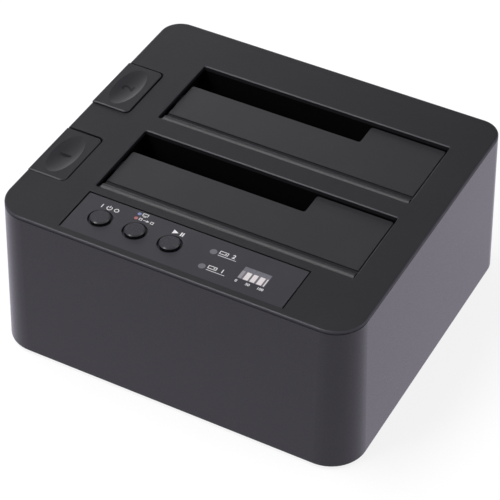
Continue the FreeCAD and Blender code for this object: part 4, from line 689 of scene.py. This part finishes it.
def power_mark(x, y):
    """The on bar, the power sign and the off ring."""
    reach = LABEL_TALL / 2
    stem = LABEL_LINE / 2
    apart = 3.1 * reach
    arc = ring(x, y, reach, LABEL_LINE, start=125, sweep=290)
    arc_stem = bar(x - stem, x + stem, y + 0.1 * reach, y + 1.35 * reach)
    on_bar = bar(x - apart - stem, x - apart + stem, y - reach, y + reach)
    off_ring = ring(x + apart, y, reach * 0.85, LABEL_LINE)
    return arc + [arc_stem, on_bar] + off_ring


def start_mark(x, y):
    """Start and pause signs."""
    left = x + 0.9 * MM
    wide = 1.6 * LABEL_LINE
    begin = triangle(x - 1.2 * MM, y, 1.15 * LABEL_TALL)
    pause = [bar(edge, edge + wide, y - LABEL_TALL / 2, y + LABEL_TALL / 2)
             for edge in (left, left + 0.8 * MM)]
    return [begin] + pause


def computer_mark(x, y):
    """A small screen on a foot, with its left edge on the point."""
    tall = 0.66 * LABEL_TALL
    screen = frame_of(x, x + 2.3 * MM, y - tall / 3, y + tall * 0.75, SIGN_LINE)
    foot = bar(x + 0.5 * MM, x + 1.8 * MM, y - tall * 0.72, y - tall * 0.54)
    return screen + [foot]


def copy_mark(x, y):
    """One square, an arrow and another square, with its left edge on the point."""
    half = 0.32 * LABEL_TALL
    first, second = [frame_of(left, left + 2 * half, y - half, y + half, SIGN_LINE)
                     for left in (x, x + 4.6 * MM)]
    shaft = bar(x + 1.7 * MM, x + 3.3 * MM, y - SIGN_LINE / 2, y + SIGN_LINE / 2)
    arrowhead = triangle(x + 3.5 * MM, y, 1.1 * MM)
    return first + [shaft, arrowhead] + second


def drive_mark(x, y):
    """A drive seen from the front, with its left edge on the point."""
    half = 0.42 * LABEL_TALL
    case = frame_of(x, x + 3.4 * MM, y - half, y + half, DRIVE_LINE)
    lamp = bar(x + 2.2 * MM, x + 2.8 * MM, y - 0.2 * MM, y + 0.15 * MM)
    return case + [lamp]


def add_panel_marks(ink):
    """Generic symbols and plain numbers on the control panel."""
    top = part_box("control_panel")[1].z
    power = middle_of("power_button")
    start = middle_of("start_button")
    label_y = power.y + LABEL_RISE
    printed("mark_power", power_mark(power.x + LABEL_SHIFT, label_y), top, ink)
    printed("mark_start", start_mark(start.x, label_y), top, ink)
    blue = middle_of("power_light")
    red = middle_of("error_light")
    printed("mark_computer", computer_mark(blue.x + STATUS_GAP, blue.y), top, ink)
    printed("mark_copy", copy_mark(red.x + STATUS_GAP, red.y + COPY_RISE), top, ink)
    for bay in (1, 2):
        light = middle_of(f"drive_light_{bay}")
        left = light.x + DRIVE_GAP
        middle = light.y + DRIVE_RISE
        line = light.y - UNDERLINE_DROP
        underline = bar(left, left + UNDERLINE_LONG, line, line + UNDERLINE_THICK)
        printed(f"mark_drive_{bay}", drive_mark(left, middle) + [underline], top, ink)
        printed_text(f"number_bay_{bay}", str(bay), left + BAY_NUMBER_PLACE, middle, BAY_NUMBER_TALL,
                     top, ink)
    low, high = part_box("progress_window")
    for words, share in SCALE:
        printed_text(f"number_{words}", words, low.x + share * (high.x - low.x), low.y - SCALE_DROP,
                     SCALE_TALL, top, ink)


BAR_FRONT = 0.02     # shares of the progress window's depth
BAR_REAR = 0.64
FIRST_BAR = (0, 0.12)     # shares of its length, as the next ones are
OTHER_BARS = ((0.19, 0.37), (0.44, 0.61), (0.69, 0.87), (0.94, 0.98))


def add_progress_bars(lit, dim):
    """Light bars in the front two thirds of the progress window, the first of them partly on."""
    low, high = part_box("progress_window")
    size = high - low
    front = low.y + BAR_FRONT * size.y
    rear = low.y + BAR_REAR * size.y
    for name, spans, material in (("progress_bars", OTHER_BARS, lit),
                                  ("progress_first_bar", (FIRST_BAR,), dim)):
        bars = [bar(low.x + a * size.x, low.x + b * size.x, front, rear) for a, b in spans]
        printed(name, bars, high.z, material)


def add_key_numbers(dark, caps):
    """The bay's number in the finger dish of each eject key, near black as painted shade so that it looks
    sunk.
    """
    for bay, cap in caps.items():
        middle = middle_of(f"eject_key_{bay}")
        made = printed_text(f"number_key_{bay}", str(bay), middle.x, middle.y, KEY_NUMBER_TALL, middle.z,
                            dark, body=f"eject_key_{bay}", turn=math.pi / 2)
        drape(made, cap)


WELL_ABOVE = 1.0     # height from which the flat piece is let down


def drape(piece, node_object):
    """Lets a flat piece down onto the node below it, point by point."""
    base = min(corner.co.z for corner in piece.data.vertices)
    for corner in piece.data.vertices:
        start = Vector((corner.co.x, corner.co.y, WELL_ABOVE))
        hit, place, _, _ = node_object.ray_cast(start, (0, 0, -1))
        if hit:
            corner.co.z = place.z + INK_LIFT + (corner.co.z - base)


# ---------------------------------------------------------------------------------------
# Making
# ---------------------------------------------------------------------------------------
add_camera()
make_world()
make_floor()
light_studio()
make_materials()
CAPS = reshape_pieces()
springs()
INK = surface("ink", (0.62, 0.61, 0.63), 0.5, spread=0.03)
LIT = surface("lit_bars", (0.6, 0.55, 0.56), 0.4, spread=0.03)
add_panel_marks(INK)
add_progress_bars(LIT, surface("dim_bar", (0.26, 0.24, 0.26), 0.4, spread=0.05))
# The key numbers' near-black colour is painted shade for a sunk mark.
add_key_numbers(surface("key_number", (0.004, 0.004, 0.005), 0.6, Specular_IOR_Level=0.2), CAPS)

SCENE.view_settings.view_transform = "Standard"
